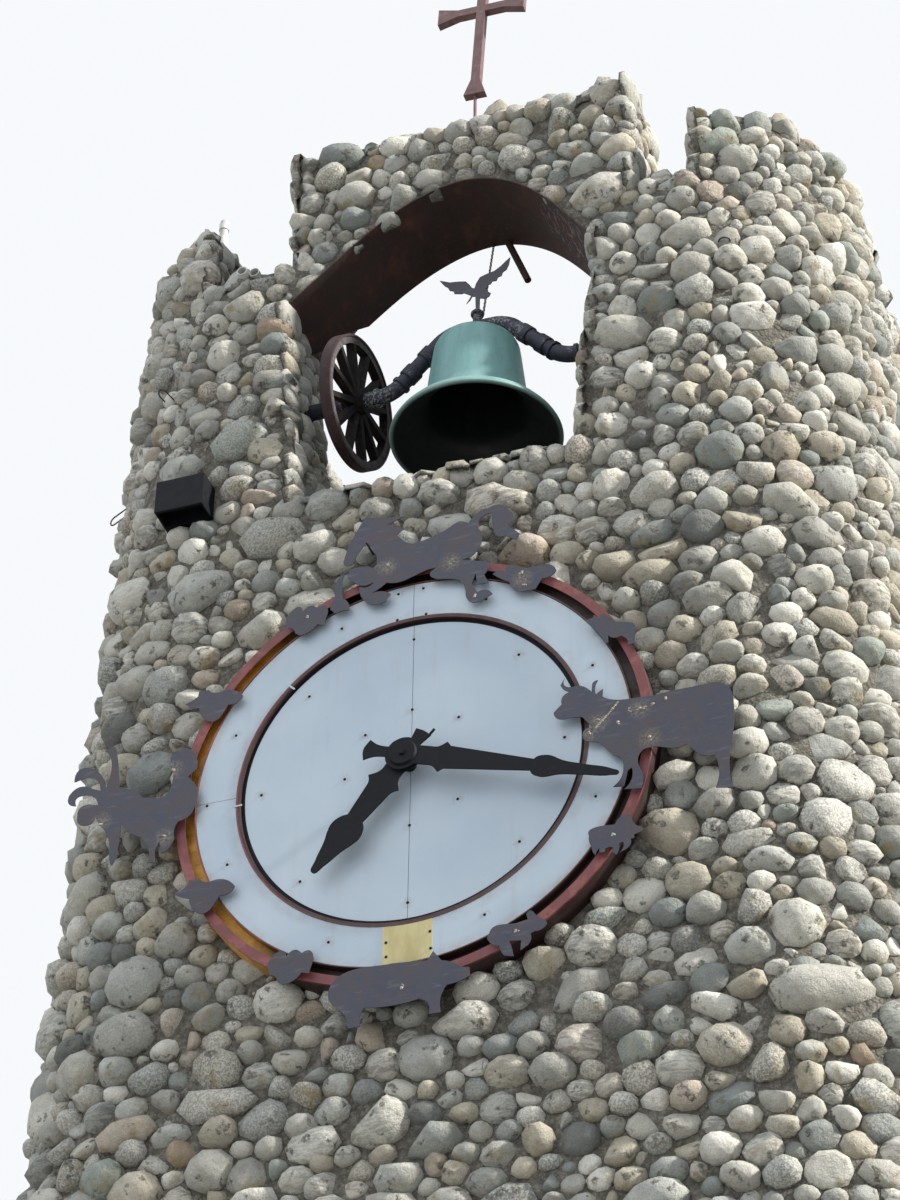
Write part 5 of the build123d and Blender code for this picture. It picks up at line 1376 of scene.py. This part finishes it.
class HangBell(Operator):
    """Casts the bell and hangs it on its cranked pipe, with the bird above"""
    bl_idname = "tower.hang_bell"
    bl_label = "Hang the Bell"

    def execute(self, context):
        self.cast_bell()
        middle = Vector((BELL_LIP.x, BELL_LIP.y, 0))
        top_z = WHEEL_MIDDLE.z + YOKE_RISE - YOKE_DROP

        def at(x, z):
            return middle + Vector((x, 0, z))

        low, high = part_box("yoke")
        corners = [Vector((low.x, middle.y, WHEEL_MIDDLE.z)), at(-YOKE_REACH, WHEEL_MIDDLE.z),
                   at(-YOKE_SHOULDER, top_z), at(YOKE_SHOULDER, top_z),
                   at(YOKE_REACH, WHEEL_MIDDLE.z), Vector((high.x, middle.y, WHEEL_MIDDLE.z))]
        bm = pipe_run("yoke_run", corners, YOKE_RADIUS, YOKE_BEND)
        rod(bm, at(0, BELL_LIP.z + NECK_FOOT), at(0, top_z), NECK_WIDE, 24, NECK_NARROW)
        rod(bm, at(0, top_z), at(0, top_z + POST_HEIGHT), POST_RADIUS, ease=0.003)
        rod(bm, at(0, top_z + COLLAR_LOW), at(0, top_z + COLLAR_HIGH), COLLAR_RADIUS, ease=0.004)
        dress(new_piece("yoke_pipe", bm), finish_of("dark_pipe"), "bell", "yoke")

        # Couplings on the slanting pipes and bands beside their lower bends
        bm = bmesh.new()
        for side in (-1, 1):
            upper, lower = at(side * YOKE_SHOULDER, top_z), at(side * YOKE_REACH, WHEEL_MIDDLE.z)
            step = (lower - upper).normalized() * COUPLING_HALF
            for share in COUPLING_PLACES:
                here = upper.lerp(lower, share)
                rod(bm, here - step, here + step, COUPLING_RADIUS, 24, ease=0.006)
            for other in (upper, lower + Vector((side, 0, 0))):
                way = (other - lower).normalized()
                rod(bm, lower + way * BAND_NEAR, lower + way * BAND_FAR, BAND_RADIUS, 24,
                    ease=0.006)
        piece = new_piece("yoke_fittings", bm, False)
        dress(piece, finish_of("dark_pipe"), "bell", "yoke_couplings")

        low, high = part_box("eagle")
        place = standing(middle.x, (low.y + high.y) / 2, top_z + EAGLE_FEET)
        bm = plate("eagle", [(x, z, 1) for x, z in EAGLE], high.y - low.y, place)
        piece = new_piece("eagle_plate", bm, False)
        dress(piece, finish_of("grey_plate"), "bell", "eagle")
        return {"FINISHED"}

    def cast_bell(self):
        """Spins the bell's profile and marks its inside, which is painted black as painted shade.
        """
        bm = bmesh.new()
        profile = BELL_OUTSIDE + BELL_INSIDE
        verts = [bm.verts.new(BELL_LIP + Vector((radius, 0, rise))) for radius, rise in profile]
        edges = [bm.edges.new(pair) for pair in zip(verts, verts[1:] + verts[:1])
                 if pair[0].co.xy != BELL_LIP.xy or pair[1].co.xy != BELL_LIP.xy]
        bmesh.ops.spin(bm, geom=verts + edges, cent=BELL_LIP, axis=(0, 0, 1), angle=2 * math.pi,
                       steps=BELL_STEPS, use_merge=True, use_duplicate=False)
        bmesh.ops.remove_doubles(bm, verts=bm.verts[:], dist=MERGE)
        bell = new_piece("bell_casting", bm)
        points = np.array([v.co for v in bell.data.vertices]) - np.array(BELL_LIP)
        radii, rises = zip(*BELL_OUTSIDE)
        shell = np.interp(points[:, 2], rises, radii)
        inner = np.hypot(points[:, 0], points[:, 1]) < shell - INSIDE_DEPTH
        set_values(bell.data, "inside", inner & (points[:, 2] < INSIDE_TOP))
        dress(bell, finish_of("bronze"), "bell", "bell")


class HangChains(Operator):
    """Hangs the chain above the eagle, in its two lengths"""
    bl_idname = "tower.hang_chains"
    bl_label = "Hang the Chains"

    def execute(self, context):
        run = (CHAIN_FOOT - CHAIN_TOP).normalized()
        straight = run.to_track_quat("Z", "Y").to_matrix().to_4x4()
        for node, body in (("tether_chain", "tower"), ("crown_chain", "bell")):
            low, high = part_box(node)
            top = CHAIN_TOP + run * ((high.z - CHAIN_TOP.z) / run.z)
            length = (high.z - low.z) / abs(run.z)
            count = int(length / (LINK_LENGTH - LINK_LAP))
            step = length / count
            bm = bmesh.new()
            for number in range(count):
                turn = Matrix.Rotation(math.pi / 2 * (number % 2) + LINK_TWIST, 4, "Z")
                chain_link(bm, step + LINK_LAP, top + run * step * (number + 0.5), straight @ turn)
            piece = new_piece(node + "_links", bm)
            dress(piece, finish_of("rust_steel"), body, node)
        return {"FINISHED"}


# Lamps: aim, strength, angle and colour, and the camera's axes
LAMPS = {
    "key_sun": ((-0.85, 0.05, -0.53), 6.4, 4, (1.0, 0.96, 0.88)),
    "sky_fill": ((0.25, 0.75, -0.61), 1.35, 90, (0.93, 0.97, 1.0)),
}
SKY_LIGHT, SKY_STRENGTH = (0.90, 0.95, 1.0), 0.52
BACKDROP = (0.93, 0.95, 0.97)
FLOOR_BOUNCE, FLOOR_HALF = (0.30, 0.30, 0.29), 60
CAMERA_ACROSS = Vector((0.94510638, 0.32656342, 0.01141355))
CAMERA_UP = Vector((0.19496986, -0.59160351, 0.7822992))


class SetStage(Operator):
    """Adds the pale floor, the soft light and the camera"""
    bl_idname = "tower.set_stage"
    bl_label = "Set the Stage"

    def execute(self, context):
        settings = context.scene.tower_stage
        bm = bmesh.new()
        bmesh.ops.create_grid(bm, x_segments=1, y_segments=1, size=FLOOR_HALF)
        floor = new_piece("floor", bm, False)
        f = Finish("pale_floor", roughness=0.9)
        seen = f.node("LightPath", {})["Is Camera Ray"]
        f.wear(f.mix(seen, FLOOR_BOUNCE, tuple(settings.floor_colour)))
        floor.data.materials.append(f.material)

        # The sky lights the tower evenly and shows as a plain pale backdrop
        world = bpy.data.worlds.new("studio")
        world.use_nodes = True
        context.scene.world = world
        sky = Network(world.node_tree)
        light = world.node_tree.nodes["Background"]
        sky.join(SKY_LIGHT, light.inputs["Color"])
        sky.join(SKY_STRENGTH, light.inputs["Strength"])
        rays = sky.node("LightPath", {})
        straight = rays["Is Camera Ray"]
        for label in ("Is Glossy Ray", "Is Transmission Ray"):
            straight = sky.maths("MAXIMUM", straight, rays[label])
        backdrop = sky.node("Background", {"Color": BACKDROP})[0]
        chosen = sky.node("MixShader", {"Fac": straight, 1: light.outputs[0], 2: backdrop})[0]
        sky.join(chosen, world.node_tree.nodes["World Output"].inputs["Surface"])

        for name, (aim, strength, angle, colour) in LAMPS.items():
            lamp = add_object(name, bpy.data.lights.new(name, "SUN"))
            lamp.data.energy = strength
            lamp.data.angle = math.radians(angle)
            lamp.data.color = colour
            lamp.rotation_mode = "QUATERNION"
            lamp.rotation_quaternion = Vector(aim).to_track_quat("-Z", "Y")

        camera = add_object("camera", bpy.data.cameras.new("camera"))
        camera.data.lens = settings.lens
        camera.data.sensor_width = 36
        camera.data.clip_end = 300
        axes = (CAMERA_ACROSS, CAMERA_UP, CAMERA_ACROSS.cross(CAMERA_UP))
        turn = Matrix(axes).transposed().to_4x4()
        camera.matrix_world = Matrix.Translation(settings.camera_place) @ turn
        context.scene.camera = camera
        context.scene.view_settings.view_transform = "Standard"
        return {"FINISHED"}


class TowerPanel(Panel):
    """Sidebar panel that lists the tower's operators"""
    bl_idname = "VIEW3D_PT_tower"
    bl_label = "Clock Tower"
    bl_space_type = "VIEW_3D"
    bl_region_type = "UI"
    bl_category = "Tower"

    def draw(self, context):
        for group in (context.scene.tower_masonry, context.scene.tower_stage):
            for name in group.bl_rna.properties.keys():
                if name not in ("rna_type", "name"):
                    self.layout.prop(group, name)
        for step in STEPS:
            self.layout.operator(step.bl_idname)


STEPS = (FinishFrame, LayCobbles, TurnHands, FixDial, HangBell, HangChains, SetStage)
CLASSES = (MasonrySettings, StageSettings, *STEPS, TowerPanel)


def register():
    for cls in CLASSES:
        bpy.utils.register_class(cls)
    bpy.types.Scene.tower_masonry = PointerProperty(type=MasonrySettings)
    bpy.types.Scene.tower_stage = PointerProperty(type=StageSettings)


def unregister():
    del bpy.types.Scene.tower_stage
    del bpy.types.Scene.tower_masonry
    for cls in reversed(CLASSES):
        bpy.utils.unregister_class(cls)


def main():
    """Registers the add-on and runs its steps in order."""
    register()
    for step in STEPS:
        group, name = step.bl_idname.split(".")
        getattr(getattr(bpy.ops, group), name)()


if __name__ == "__main__":
    main()
